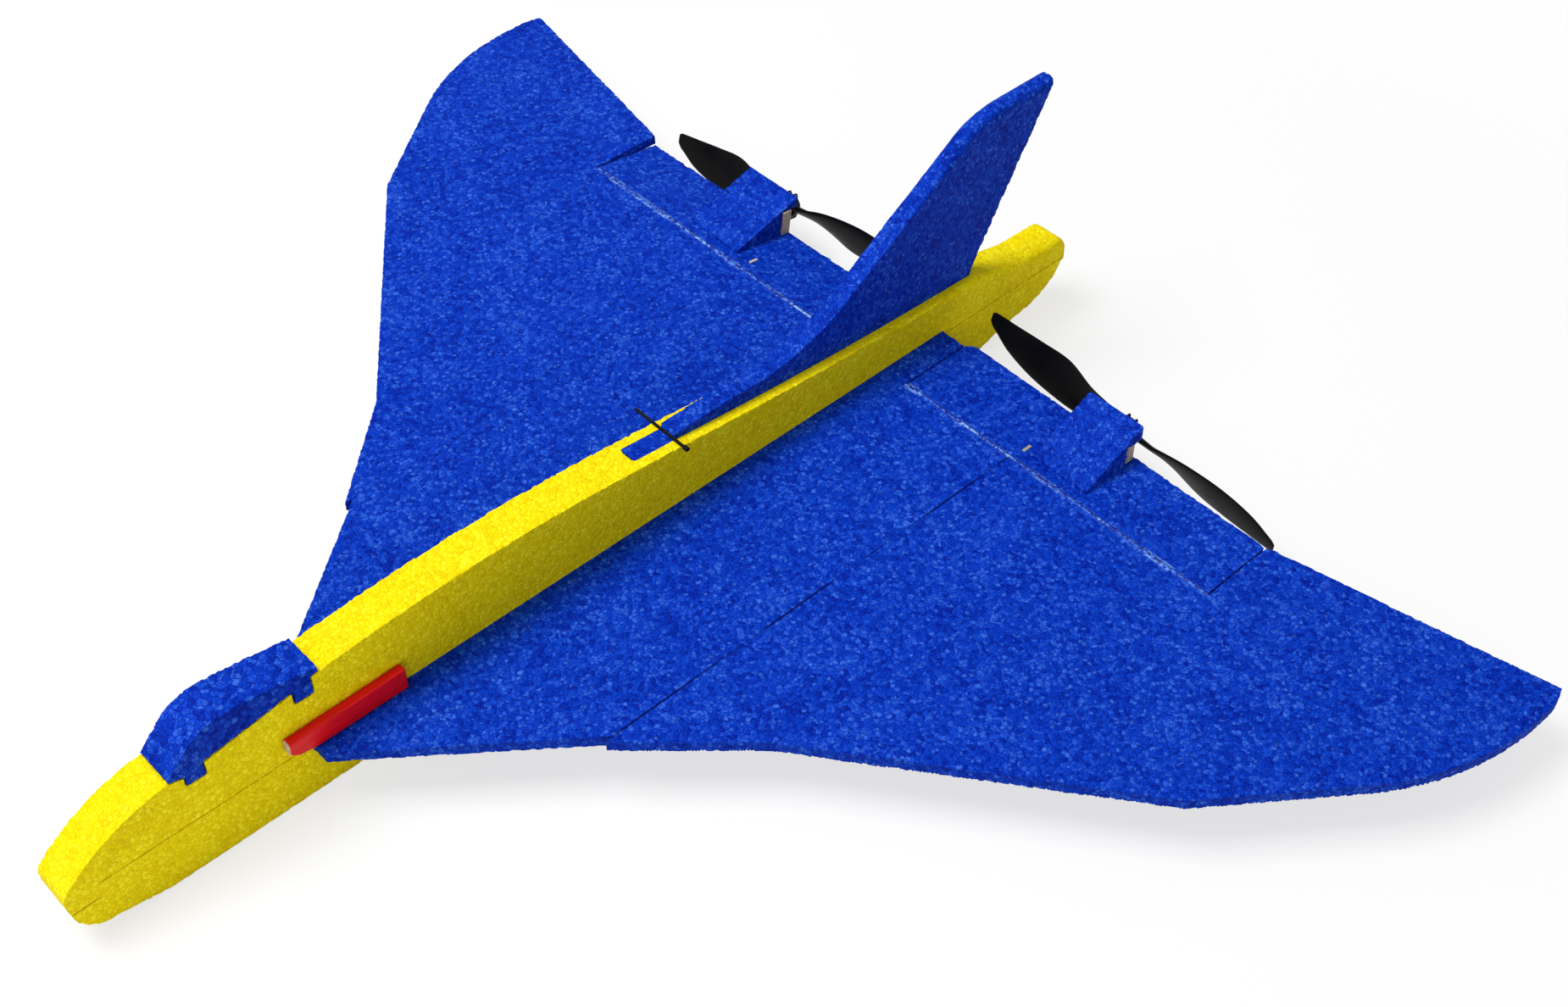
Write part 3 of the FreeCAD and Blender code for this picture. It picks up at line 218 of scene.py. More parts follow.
class Tree:
    """A node tree that is written as a list of steps."""

    def __init__(self, tree):
        self.tree = tree

    def fill(self, node, sockets):
        """Set a node's inputs. Each is a value, a colour, or another node's output to join."""
        for key, value in sockets.items():
            socket = node.inputs[key]
            if isinstance(value, bpy.types.NodeSocket):
                self.tree.links.new(value, socket)
            elif socket.type == "RGBA":
                socket.default_value = (*value[:3], 1.0)
            else:
                socket.default_value = value
        return node

    def add(self, kind, sockets=None, **settings):
        """Add a node with its settings, then its inputs."""
        made = self.tree.nodes.new(kind)
        for name, value in settings.items():
            setattr(made, name, value)
        return self.fill(made, sockets or {})

    def maths(self, operation, first, second=0.0):
        return self.add("ShaderNodeMath", {0: first, 1: second}, operation=operation).outputs[0]

    def times(self, first, *others):
        """Multiply values."""
        for other in others:
            first = self.maths("MULTIPLY", first, other)
        return first

    def plus(self, first, *others):
        """Add values up."""
        for other in others:
            first = self.maths("ADD", first, other)
        return first

    def ramp(self, value, low, high, start=0.0, end=1.0):
        """Map low..high onto start..end, smoothly and without going past either."""
        sockets = {"Value": value, "From Min": low, "From Max": high, "To Min": start, "To Max": end}
        return self.add("ShaderNodeMapRange", sockets, interpolation_type="SMOOTHSTEP").outputs["Result"]

    def mix(self, amount, first, second):
        """Blend two colours."""
        sockets = {"Factor": amount, 6: first, 7: second}
        return self.add("ShaderNodeMix", sockets, data_type="RGBA").outputs[2]

    def noise(self, place, scale, detail=2.0, roughness=0.5, seed=None):
        """Cloudy noise. A seed picks another field of it."""
        sockets = {"Vector": place, "Scale": scale, "Detail": detail, "Roughness": roughness}
        if seed is None:
            return self.add("ShaderNodeTexNoise", sockets).outputs["Fac"]
        return self.add("ShaderNodeTexNoise", {**sockets, "W": seed}, noise_dimensions="4D").outputs["Fac"]

    def parts(self, vector):
        """A vector's x, y and z."""
        return self.add("ShaderNodeSeparateXYZ", {0: vector}).outputs

    def vector(self, x=0.0, y=0.0, z=0.0):
        return self.add("ShaderNodeCombineXYZ", {0: x, 1: y, 2: z}).outputs[0]

    def object_place(self):
        """Where a surface point lies, in metres."""
        return self.add("ShaderNodeTexCoord").outputs["Object"]

    def attribute(self, name, form="FLOAT"):
        """A value that the mesh carries under this name."""
        return self.add("GeometryNodeInputNamedAttribute", {"Name": name}, data_type=form).outputs[0]


def node_group(name, kind, inputs, outputs):
    """A new node group with named sockets. Returns the group, its steps, its inputs and its end node."""
    group = bpy.data.node_groups.new(name, kind)
    for socket, form, *default in inputs:
        made = group.interface.new_socket(socket, in_out="INPUT", socket_type=form)
        if default:
            made.default_value = default[0]
    for socket, form in outputs:
        group.interface.new_socket(socket, in_out="OUTPUT", socket_type=form)
    tree = Tree(group)
    return group, tree, tree.add("NodeGroupInput").outputs, tree.add("NodeGroupOutput")


def shape_group(name, inputs):
    """A new geometry nodes group that takes its material as its last input."""
    inputs = [("Geometry", SHAPE), *inputs, ("Material", MATERIAL)]
    return node_group(name, "GeometryNodeTree", inputs, [("Geometry", SHAPE)])


def end_shape(tree, shape, start, end):
    """End a geometry tree: real geometry instead of instances, in its material."""
    plain = tree.add("GeometryNodeRealizeInstances", {0: shape}).outputs[0]
    coated = tree.add("GeometryNodeSetMaterial", {"Geometry": plain, "Material": start["Material"]})
    tree.fill(end, {"Geometry": coated.outputs[0]})


@once
def bead_foam_group():
    """Colour, roughness and height of foam that is pressed together from small beads, with painted highlights on
    the crowns of a few beads.
    """
    group, tree, start, end = node_group(
        "Bead foam",
        "ShaderNodeTree",
        [
            ("Bead", VALUE, 2.5 * MM), ("Colour", COLOUR), ("Deep", COLOUR), ("Pale", COLOUR),
            ("Pale share", VALUE, 0.15), ("Joint", VALUE, 0.6),
        ],
        SURFACE,
    )
    place = tree.object_place()
    sway = tree.add("ShaderNodeTexNoise", {"Vector": place, "Scale": 260.0, "Detail": 2.0})
    shift = tree.add("ShaderNodeVectorMath", {0: sway.outputs["Color"], 3: 1.1 * MM}, operation="SCALE")
    bent = tree.add("ShaderNodeVectorMath", {0: place, 1: shift.outputs[0]}, operation="ADD").outputs[0]
    packing = {"Vector": bent, "Scale": tree.maths("DIVIDE", 1.0, start["Bead"])}
    cell = tree.add("ShaderNodeTexVoronoi", packing).outputs
    joint = tree.add("ShaderNodeTexVoronoi", packing, feature="DISTANCE_TO_EDGE").outputs["Distance"]
    dice = tree.add("ShaderNodeSeparateColor", {0: cell["Color"]}).outputs
    mottle = tree.noise(place, 42.0, detail=3.0)
    grain = tree.noise(place, 1150.0, detail=3.0, roughness=0.7)
    speckle = tree.times(tree.maths("SUBTRACT", grain, 0.5), 1.5)
    tone = tree.plus(tree.times(dice[0], 0.5), tree.times(mottle, 0.4), speckle)
    body = tree.mix(tree.ramp(tone, 0.05, 0.5), start["Deep"], start["Colour"])
    body = tree.mix(tree.ramp(tone, 0.5, 1.0, 0.0, 0.8), body, start["Pale"])
    # Painted highlight: a share of the beads is lit up in the pale colour, strongest on the bead's crown.
    highlit_bead = tree.maths("GREATER_THAN", dice[1], tree.maths("SUBTRACT", 1.0, start["Pale share"]))
    crown = tree.ramp(cell["Distance"], 0.75, 0.15)
    painted_glint = tree.times(crown, tree.ramp(grain, 0.3, 0.6), highlit_bead, 0.7)
    body = tree.mix(painted_glint, body, start["Pale"])
    seam = tree.ramp(joint, 0.13, 0.0)
    body = tree.mix(tree.times(seam, start["Joint"]), body, start["Deep"])
    shine = tree.plus(tree.ramp(grain, 0.2, 0.8, 0.42, 0.66), tree.times(seam, 0.2))
    dome = tree.maths("SUBTRACT", 1.0, tree.maths("POWER", cell["Distance"], 2.0))
    height = tree.plus(dome, tree.times(grain, 0.35), tree.times(seam, -0.5))
    tree.fill(end, {"Colour": body, "Roughness": shine, "Height": height})
    return group


@once
def grain_group():
    """Lines that run along one direction: wood grain or drawn carbon."""
    group, tree, start, end = node_group(
        "Grain",
        "ShaderNodeTree",
        [("Vector", VECTOR), ("Fineness", VALUE, 900.0), ("Colour", COLOUR), ("Streak", COLOUR)],
        SURFACE,
    )
    line = tree.noise(start["Vector"], start["Fineness"], detail=4.0, roughness=0.6)
    body = tree.mix(tree.ramp(line, 0.35, 0.7), start["Colour"], start["Streak"])
    tree.fill(end, {"Colour": body, "Roughness": tree.ramp(line, 0.3, 0.7, 0.35, 0.6), "Height": line})
    return group


def grained(tree, along, fineness, colour, streak):
    """Place the grain with its own values."""
    sockets = {"Vector": along, "Fineness": fineness, "Colour": colour, "Streak": streak}
    return tree.add("ShaderNodeGroup", sockets, node_tree=grain_group()).outputs


def stretched(tree, scale, turn=(0.0, 0.0, 0.0)):
    """Object coordinates, stretched so that a pattern runs along one direction."""
    sockets = {"Vector": tree.object_place(), "Scale": scale, "Rotation": turn}
    return tree.add("ShaderNodeMapping", sockets).outputs[0]


# ---------------------------------------------------------------- materials


PLY_PAIR = 2.0 * MM  # one light and one dark ply
STARBOARD_SEAM = 0.25  # how much of the port panel joint's darkness the tighter starboard joint shows
METALS = {  # the colour, and the least and most roughness
    "steel": ((0.55, 0.55, 0.56), 0.25, 0.45),
    "motor_alloy": ((0.62, 0.62, 0.64), 0.25, 0.45),
    "motor_can": ((0.45, 0.45, 0.47), 0.18, 0.35),
}
MOULDINGS = {  # the colour or its setting, the least and most roughness, and how fine the skin is
    "battery_wrap": ((0.012, 0.02, 0.05), 0.25, 0.4, 300.0),
    "receiver_case": ((0.02, 0.02, 0.02), 0.4, 0.55, 900.0),
    "controller_wrap": ((0.01, 0.012, 0.03), 0.25, 0.4, 400.0),
    "servo_case": ((0.012, 0.05, 0.24), 0.2, 0.35, 900.0),
    "white_nylon": ("nylon", 0.4, 0.55, 1200.0),
    "black_nylon": ("black", 0.3, 0.45, 1500.0),
    "black_rubber": ((0.014, 0.014, 0.014), 0.6, 0.75, 2500.0),
}


class Coat(Tree):
    """A material, written as a list of steps that end in its shader."""

    def __init__(self, name):
        self.material = bpy.data.materials.new(name)
        self.material.use_nodes = True
        super().__init__(self.material.node_tree)
        self.shader = self.tree.nodes["Principled BSDF"]

    def finish(self, colour, roughness, relief, specular=0.5, metallic=0.0):
        """Join the pattern to the shader. relief is a height, its depth and its strength."""
        bump = self.add("ShaderNodeBump", dict(zip(("Height", "Distance", "Strength"), relief)))
        sockets = {"Base Color": colour, "Roughness": roughness, "Normal": bump.outputs["Normal"]}
        self.fill(self.shader, {**sockets, "Specular IOR Level": specular, "Metallic": metallic})
        return self.material


def motor_axis(side):
    """Which way a motor's shaft points: aft."""
    return Vector(JOINTS[f"rotor_{side}_spin"]["axis"])


def shade(colour, amount):
    """A colour made darker or lighter."""
    return [tone * amount for tone in colour]


def hinge_smear(tree, place):
    """Where glue has squeezed out of the elevon hinges onto the beads beside them, from 0 to 1."""
    low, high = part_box("hinge_bead_port")
    middle = (low + high) / 2
    fade = 0.5 * MM
    flat = tree.add("ShaderNodeVectorMath", {0: place, 1: (0.0, 1.0, 1.0)}, operation="MULTIPLY").outputs[0]
    ends = {0: flat, 1: (0.0, middle.y, middle.z)}
    away = tree.add("ShaderNodeVectorMath", ends, operation="DISTANCE").outputs["Value"]
    out = tree.maths("ABSOLUTE", tree.parts(place)[0])
    return tree.times(
        tree.ramp(away, 2.3 * MM, 1.0 * MM),
        tree.ramp(tree.noise(place, 46.0), 0.48, 0.62, 0.08, 0.75),
        tree.ramp(tree.noise(place, 620.0), 0.38, 0.58),
        tree.ramp(out, low.x - fade, low.x),
        tree.ramp(out, high.x + fade, high.x),
    )


@once
def foam_material(colour, seam_at=0.0, coarse=1.0, hinged=False):
    """Bead foam in blue or yellow. seam_at is how far out a glued panel joint lies."""
    settings = bpy.context.scene.wing_foam
    tones = [getattr(settings, colour + ending) for ending in ("", "_deep", "_pale")]
    name = f"{colour}_foam" + "_panel" * (seam_at > 0) + "_coarse" * (coarse > 1) + "_hinged" * hinged
    tree = Coat(name)
    # The share below sets how many beads get a painted highlight on their crowns.
    foam = tree.add(
        "ShaderNodeGroup",
        {
            "Bead": settings.bead * coarse, "Colour": tones[0], "Deep": tones[1], "Pale": tones[2],
            "Pale share": 0.1 if colour == "blue" else 0.25, "Joint": 0.45 * coarse,
        },
        node_tree=bead_foam_group(),
    ).outputs
    body = foam["Colour"]
    place = tree.object_place()
    if seam_at:
        x = tree.parts(place)[0]
        away = tree.maths("ABSOLUTE", tree.maths("SUBTRACT", tree.maths("ABSOLUTE", x), seam_at))
        line = tree.times(
            tree.ramp(away, 0.75 * MM, 0.2 * MM),
            tree.ramp(tree.noise(place, 30.0), 0.36, 0.54, 0.15, 1.0),
            tree.ramp(x, -1 * MM, 1 * MM, STARBOARD_SEAM, 1.0),
        )
        body = tree.mix(line, body, shade(tones[1], 0.3))
    if hinged:
        body = tree.mix(hinge_smear(tree, place), body, bpy.context.scene.wing_trim.glue)
    return tree.finish(body, foam["Roughness"], (foam["Height"], 0.28 * MM, 0.8), specular=0.03)


@once
def painted_balsa():
    """Red paint over balsa, with the cut front end left bare."""
    trim = bpy.context.scene.wing_trim
    tree = Coat("red_painted_balsa")
    along = stretched(tree, (1.0, 0.06, 1.0))
    paint = grained(tree, along, 1400.0, trim.red, shade(trim.red, 0.7))
    wood = grained(tree, along, 900.0, trim.wood, shade(trim.wood, 0.6))
    place = tree.object_place()
    edge = tree.plus(tree.parts(place)[1], tree.times(tree.noise(place, 700.0), 1.2 * MM))
    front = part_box("intake_strip_port")[0].y
    bare = tree.ramp(edge, front + 1.6 * MM, front + 1.1 * MM)
    body = tree.mix(bare, paint["Colour"], wood["Colour"])
    shine = tree.ramp(bare, 0.0, 1.0, 0.42, 0.7)
    return tree.finish(body, shine, (paint["Height"], 0.12 * MM, 0.6), specular=0.2)


@once
def plywood(side):
    """Light plywood: five plies through its thickness, and grain on its faces."""
    wood = bpy.context.scene.wing_trim.wood
    tree = Coat(f"plywood_{side}")
    axis = motor_axis(side)
    turn = (math.atan2(-axis.z, axis.y), 0.0, 0.0)
    through = tree.parts(stretched(tree, (1.0, 1.0, 1.0), turn))[1]
    grain = grained(tree, stretched(tree, (0.08, 1.0, 1.0), turn), 700.0, wood, shade(wood, 0.72))
    ply = tree.maths("FRACT", tree.maths("DIVIDE", through, PLY_PAIR))
    off_middle = tree.maths("ABSOLUTE", tree.maths("SUBTRACT", ply, 0.5))
    dark = tree.times(tree.ramp(off_middle, 0.24, 0.28), 0.55)
    body = tree.mix(dark, grain["Colour"], shade(wood, 0.45))
    return tree.finish(body, tree.plus(grain["Roughness"], 0.2), (grain["Height"], 0.1 * MM, 0.5))


@once
def hinge_glue():
    """Patchy dried glue: pale where it is thick, and blue where it hardly covers the foam."""
    foam = bpy.context.scene.wing_foam
    tree = Coat("dried_glue")
    place = tree.object_place()
    broad, fine = tree.noise(place, 38.0, detail=4.0), tree.noise(place, 520.0, detail=3.0)
    cover = tree.plus(tree.times(broad, 0.6), tree.times(fine, 0.4))
    under = tree.mix(tree.ramp(fine, 0.42, 0.62), foam.blue_deep, foam.blue_pale)
    body = tree.mix(tree.ramp(cover, 0.50, 0.62), under, bpy.context.scene.wing_trim.glue)
    return tree.finish(body, tree.ramp(fine, 0.3, 0.7, 0.3, 0.6), (fine, 0.2 * MM, 0.7), specular=0.15)


@once
def moulded(name):
    """Moulded plastic or rubber, with a fine skin and slight changes of shine."""
    colour, low, high, fineness = MOULDINGS[name]
    if isinstance(colour, str):
        colour = getattr(bpy.context.scene.wing_trim, colour)
    tree = Coat(name)
    place = tree.object_place()
    cloud, skin = tree.noise(place, 60.0), tree.noise(place, fineness, detail=3.0)
    body = tree.mix(tree.ramp(cloud, 0.3, 0.7), shade(colour, 0.8), shade(colour, 1.15))
    return tree.finish(body, tree.ramp(cloud, 0.3, 0.7, low, high), (skin, 0.03 * MM, 0.5), specular=0.06)


@once
def drawn_rod():
    """Carbon rod with its fibres along it."""
    tree = Coat("carbon_rod")
    along = stretched(tree, (0.02, 1.0, 1.0))
    fibre = grained(tree, along, 2600.0, (0.004, 0.004, 0.005), (0.010, 0.010, 0.011))
    relief = (fibre["Height"], 0.02 * MM, 0.5)
    return tree.finish(fibre["Colour"], fibre["Roughness"], relief, specular=0.05)


@once
def metal(name):
    """Bare metal with fine scratches."""
    colour, low, high = METALS[name]
    tree = Coat(name)
    place = tree.object_place()
    scratch, cloud = tree.noise(place, 2200.0, detail=4.0), tree.noise(place, 420.0)
    body = tree.mix(tree.ramp(cloud, 0.35, 0.7), colour, shade(colour, 0.86))
    shine = tree.ramp(scratch, 0.3, 0.7, low, high)
    return tree.finish(body, shine, (scratch, 0.01 * MM, 0.4), metallic=1.0)


# ---------------------------------------------------------------- mesh helpers


MERGE = 0.002 * MM  # CAD corners closer than this are one corner
FLAT = math.radians(0.3)  # CAD faces that meet at less than this are one face
ROUNDED = math.radians(30)  # edges sharper than this are rounded
GROOVE = 0.12 * MM  # depth of the line where two mouldings meet


def new_piece(name, data):
    """An object in the scene that holds this mesh, lamp or camera."""
    piece = bpy.data.objects.new(name, data)
    bpy.context.scene.collection.objects.link(piece)
    return piece


def from_bmesh(name, shape):
    """Close a worked mesh and make it a piece."""
    mesh = bpy.data.meshes.new(name)
    shape.to_mesh(mesh)
    shape.free()
    return new_piece(name, mesh)


def opened(mesh):
    """A mesh, ready to be worked on."""
    shape = bmesh.new()
    shape.from_mesh(mesh)
    return shape


def settle(piece):
    """Work the modifiers into the piece's mesh."""
    graph = bpy.context.evaluated_depsgraph_get()
    old = piece.data
    piece.data = bpy.data.meshes.new_from_object(piece.evaluated_get(graph))
    piece.data.name = piece.name
    piece.modifiers.clear()
    bpy.data.meshes.remove(old)
    return piece


def run_nodes(piece, group, values):
    """Work a geometry nodes tree into a piece, with its inputs set through their identifiers."""
    step = piece.modifiers.new("Nodes", "NODES")
    step.node_group = group
    for item in group.interface.items_tree:
        if item.item_type == "SOCKET" and item.in_out == "INPUT" and item.name in values:
            step[item.identifier] = values[item.name]
    return settle(piece)


def joined_up(node):
    """A CAD node's triangles, joined where they touch."""
    shape = opened(frame["nodes"][node].data)
    bmesh.ops.remove_doubles(shape, verts=shape.verts, dist=MERGE)
    return shape


def node_copy(node, name):
    """A copy of a CAD node's mesh, with its flat faces whole."""
    shape = joined_up(node)
    bmesh.ops.dissolve_limit(shape, angle_limit=FLAT, verts=shape.verts, edges=shape.edges)
    return from_bmesh(name, shape)


def smooth(piece, angle=35.0):
    """Shade smoothly, except over edges sharper than this many degrees."""
    piece.data.shade_smooth()
    piece.data.set_sharp_from_angle(angle=math.radians(angle))


def stand_for(piece, material, *nodes):
    """Give a piece its material, and let it ride and stand for its CAD nodes."""
    piece.data.materials.clear()
    piece.data.materials.append(material)
    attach(piece, BODY_OF[nodes[0]])
    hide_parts(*nodes)
    return piece


def dress(node, material):
    """Give a CAD node a better material and leave its shape."""
    slots = frame["nodes"][node].material_slots
    if not slots:
        raise RuntimeError(f"{node} has no material slot")
    for slot in slots:
        slot.material = material


def groove(piece, x, depth):
    """Score a line round a piece, where two mouldings meet at this x."""
    shape = opened(piece.data)
    for place in (x - depth, x, x + depth):
        bmesh.ops.bisect_plane(
            shape, geom=shape.verts[:] + shape.edges[:] + shape.faces[:], dist=depth / 20,
            plane_co=(place, 0.0, 0.0), plane_no=(1.0, 0.0, 0.0),
        )
    shape.normal_update()
    for corner in shape.verts:
        if abs(corner.co.x - x) < depth / 10:
            inward = -corner.normal
            inward.x = 0.0
            if inward.length > 0.1:
                corner.co += inward.normalized() * depth
    shape.to_mesh(piece.data)
    shape.free()


def softened(node, material, edge, segments=2, grooves=()):
    """A copy of a CAD node with its edges rounded a little, and scored where its mouldings meet."""
    piece = node_copy(node, f"{node}_finished")
    bevel = piece.modifiers.new("Edges", "BEVEL")
    bevel.width = edge
    bevel.segments = segments
    bevel.limit_method = "ANGLE"
    bevel.angle_limit = ROUNDED
    settle(piece)
    for x in grooves:
        groove(piece, x, GROOVE)
    smooth(piece)
    even = piece.modifiers.new("Normals", "WEIGHTED_NORMAL")
    even.keep_sharp = True
    settle(piece)
    return stand_for(piece, material, node)


# ---------------------------------------------------------------- screws


@once
def cross_screws():
    """Geometry nodes that set a cross-head screw on every point, along the point's axis."""
    group, tree, start, end = shape_group(
        "Cross-head screws",
        [
            ("Head radius", VALUE, 1.3 * MM), ("Head height", VALUE, 0.5 * MM),
            ("Shank radius", VALUE, 0.75 * MM), ("Shank length", VALUE, 6.0 * MM),
        ],
    )
    wide, high = start["Head radius"], start["Head height"]
    thin, long = start["Shank radius"], start["Shank length"]
    cone = {"Vertices": 28, "Radius Top": tree.times(wide, 0.82), "Radius Bottom": wide, "Depth": high}
    head = tree.add("GeometryNodeMeshCone", cone).outputs["Mesh"]
    overlapping = tree.plus(long, tree.times(high, 0.25))
    rod = {"Vertices": 20, "Radius Top": thin, "Radius Bottom": thin, "Depth": overlapping}
    shank = tree.add("GeometryNodeMeshCone", rod).outputs["Mesh"]
    down = tree.vector(z=tree.times(long, -1.0))
    hung = tree.add("GeometryNodeTransform", {"Geometry": shank, "Translation": down})
    whole = tree.add("GeometryNodeMeshBoolean", {"Mesh 2": head}, operation="UNION")
    tree.fill(whole, {"Mesh 2": hung.outputs[0]})
    recess = tree.add("GeometryNodeMeshBoolean", {0: whole.outputs[0]}, operation="DIFFERENCE")
    reach, width = tree.times(wide, 1.1), tree.times(wide, 0.26)
    for across, along in ((reach, width), (width, reach)):
        blade = tree.add("GeometryNodeMeshCube", {"Size": tree.vector(across, along, high)}).outputs["Mesh"]
        lifted = tree.add("GeometryNodeTransform", {"Geometry": blade, "Translation": tree.vector(z=high)})
        tree.fill(recess, {1: lifted.outputs[0]})
    axis = {"Vector": tree.attribute("axis", "FLOAT_VECTOR")}
    turn = tree.add("FunctionNodeAlignRotationToVector", axis, axis="Z").outputs[0]
    points = tree.add("GeometryNodeMeshToPoints", {"Mesh": start["Geometry"]}).outputs[0]
    seated = tree.add(
        "GeometryNodeInstanceOnPoints", {"Points": points, "Instance": recess.outputs[0], "Rotation": turn}
    )
    end_shape(tree, seated.outputs[0], start, end)
    return group


def loose_parts(node):
    """The corners of each separate solid in a CAD node."""
    shape = joined_up(node)
    seen, parts = set(), []
    for first in shape.verts:
        part, reach = [], [] if first in seen else [first]
        while reach:
            corner = reach.pop()
            if corner not in seen:
                seen.add(corner)
                part.append(corner.co.copy())
                reach += [edge.other_vert(corner) for edge in corner.link_edges]
        if part:
            parts.append(part)
    shape.free()
    return parts


def screws(node, axis, head_height, material):
    """Cross-head screws where a CAD node has plain ones. The axis points out of their heads."""
    seats = []
    sliver = 0.1 * MM
    for part in loose_parts(node):
        middle = sum(part, Vector()) / len(part)
        along = [(point - middle).dot(axis) for point in part]
        away = [((point - middle) - axis * step).length for point, step in zip(part, along)]
        seat = max(along) - head_height
        seats.append(middle + axis * seat)
        shank = [distance for distance, step in zip(away, along) if step < seat - sliver]
        sizes = {
            "Head radius": max(away), "Head height": head_height,
            "Shank radius": max(shank, default=max(away) * 0.5),
            "Shank length": max(seat - min(along), sliver), "Material": material,
        }
    mesh = bpy.data.meshes.new(node)
    mesh.from_pydata(seats, [], [])
    mesh.attributes.new("axis", "FLOAT_VECTOR", "POINT").data.foreach_set("vector", list(axis) * len(seats))
    piece = run_nodes(new_piece(f"{node}_finished", mesh), cross_screws(), sizes)
    smooth(piece, 30.0)
    return stand_for(piece, material, node)


# ---------------------------------------------------------------- foam


FOAM_NODES = [node for node in SLOT_OF if SLOT_OF[node] in ("blue_foam", "yellow_foam")]
CUT = math.radians(22)  # faces that meet at more than this have a cut edge between them
EDGE_STEP = 0.25 * MM  # spacing of the points that stand for a cut edge
GRID_FACES = 90000  # a large piece gets a coarser grid, of about this many faces
SNAP = 0.6  # a grid corner nearer to a cut edge than this share of the grid is moved onto it
PULL = 0.6  # how far the nearest grid corner is moved towards a corner of the cut
HELD, FREE = 0.6 * MM, 1.8 * MM  # how far from the glue the relief starts, and where it is full
# Where a slab's upper edges are sanded round: along which axis, from where, to where, and the full radius
TAIL_SANDING = ("y", 150 * MM, 210 * MM, 3.2 * MM)
FIN_SANDING = ("z", 102 * MM, 132 * MM, 4.0 * MM)


@once
def bead_relief():
    """Geometry nodes that press bead joints and a hand-cut waver into a foam surface, inwards.

    The attribute free is 0 where the surface is glued to its neighbour and 1 elsewhere, and the
    attribute edge is 1 along cut edges, where beads tear out.
    """
    group, tree, start, end = shape_group(
        "Bead relief",
        [
            ("Bead", VALUE, 2.1 * MM), ("Relief", VALUE, 0.12 * MM), ("Waver", VALUE, 0.25 * MM),
            ("Chip", VALUE, 0.5 * MM), ("Seed", VALUE, 0.0),
        ],
    )
    place = tree.add("GeometryNodeInputPosition").outputs[0]
    normal = tree.add("GeometryNodeInputNormal").outputs[0]
    packing = {"Vector": place, "Scale": tree.maths("DIVIDE", 1.0, start["Bead"])}
    cell = tree.add("ShaderNodeTexVoronoi", packing).outputs
    dice = tree.parts(cell["Color"])[0]
    joint = tree.times(tree.ramp(cell["Distance"], 0.3, 0.8), start["Relief"])
    wave = tree.ramp(tree.noise(place, 95.0, detail=3.0, roughness=0.6, seed=start["Seed"]), 0.35, 0.75)
    torn = tree.times(tree.attribute("edge"), tree.ramp(dice, 0.3, 1.0), start["Chip"])
    depth = tree.plus(joint, tree.times(wave, start["Waver"]), torn)
    push = {0: normal, 3: tree.times(depth, tree.attribute("free"), -1.0)}
    inward = tree.add("ShaderNodeVectorMath", push, operation="SCALE").outputs[0]
    pressed = tree.add("GeometryNodeSetPosition", {"Geometry": start["Geometry"], "Offset": inward})
    end_shape(tree, pressed.outputs[0], start, end)
    return group


def mark(piece, name, values):
    """Give every corner of a piece its value of a new attribute."""
    piece.data.attributes.new(name, "FLOAT", "POINT").data.foreach_set("value", values)


def finder(places):
    """A tree that finds the nearest of these places."""
    tree = kdtree.KDTree(len(places))
    for index, place in enumerate(places):
        tree.insert(place, index)
    tree.balance()
    return tree


def cut_edges(piece):
    """The piece's cut edges, as closely spaced points with the ends of the edge that each lies on.

    Also gives the corners, where three cut edges meet.
    """
    shape = opened(piece.data)
    points, meetings = [], {}
    for edge in shape.edges:
        if edge.is_manifold and edge.calc_face_angle() > CUT:
            start, end = (corner.co.copy() for corner in edge.verts)
            count = max(1, int((end - start).length / EDGE_STEP))
            points += [(start.lerp(end, step / count), start, end) for step in range(count + 1)]
            for corner in edge.verts:
                meetings.setdefault(corner, []).append(edge)
    corners = [corner.co.copy() for corner, edges in meetings.items() if len(edges) > 2]
    shape.free()
    return points, corners


def glued_faces(node):
    """The surfaces that this foam is glued or hinged to, to measure distances from."""
    corners, faces = [], []
    for other in SLOT_OF:
        glued = other in FOAM_NODES and BODY_OF[other] == BODY_OF[node]
        if other != node and (glued or SLOT_OF[other] == "white_glue"):
            mesh = frame["nodes"][other].data
            faces += [[len(corners) + index for index in face.vertices] for face in mesh.polygons]
            corners += [corner.co.copy() for corner in mesh.vertices]
    return bvhtree.BVHTree.FromPolygons(corners, faces)


def share(value, low, high):
    """How far a value lies between low and high, from 0 to 1."""
    return min(1.0, max(0.0, (value - low) / (high - low)))


def grid_over(piece, spacing):
    """Cover the piece with an even grid that keeps its cut edges."""
    points, corners = cut_edges(piece)
    tree = finder([point[0] for point in points])
    remesh = piece.modifiers.new("Grid", "REMESH")
    remesh.mode = "VOXEL"
    remesh.voxel_size = spacing
    settle(piece)
    near_edge = []
    for corner in piece.data.vertices:
        index, away = tree.find(corner.co)[1:]
        on_edge = away < SNAP * spacing
        near_edge.append(float(on_edge))
        if on_edge:
            start, end = points[index][1:]
            along = geometry.intersect_point_line(corner.co, start, end)[1]
            corner.co = start.lerp(end, share(along, 0.0, 1.0))
    grid = finder([corner.co for corner in piece.data.vertices])
    for place in corners:
        nearest, index, away = grid.find(place)
        if away < spacing:
            piece.data.vertices[index].co = nearest.lerp(place, PULL)
            near_edge[index] = 1.0
    mark(piece, "edge", near_edge)


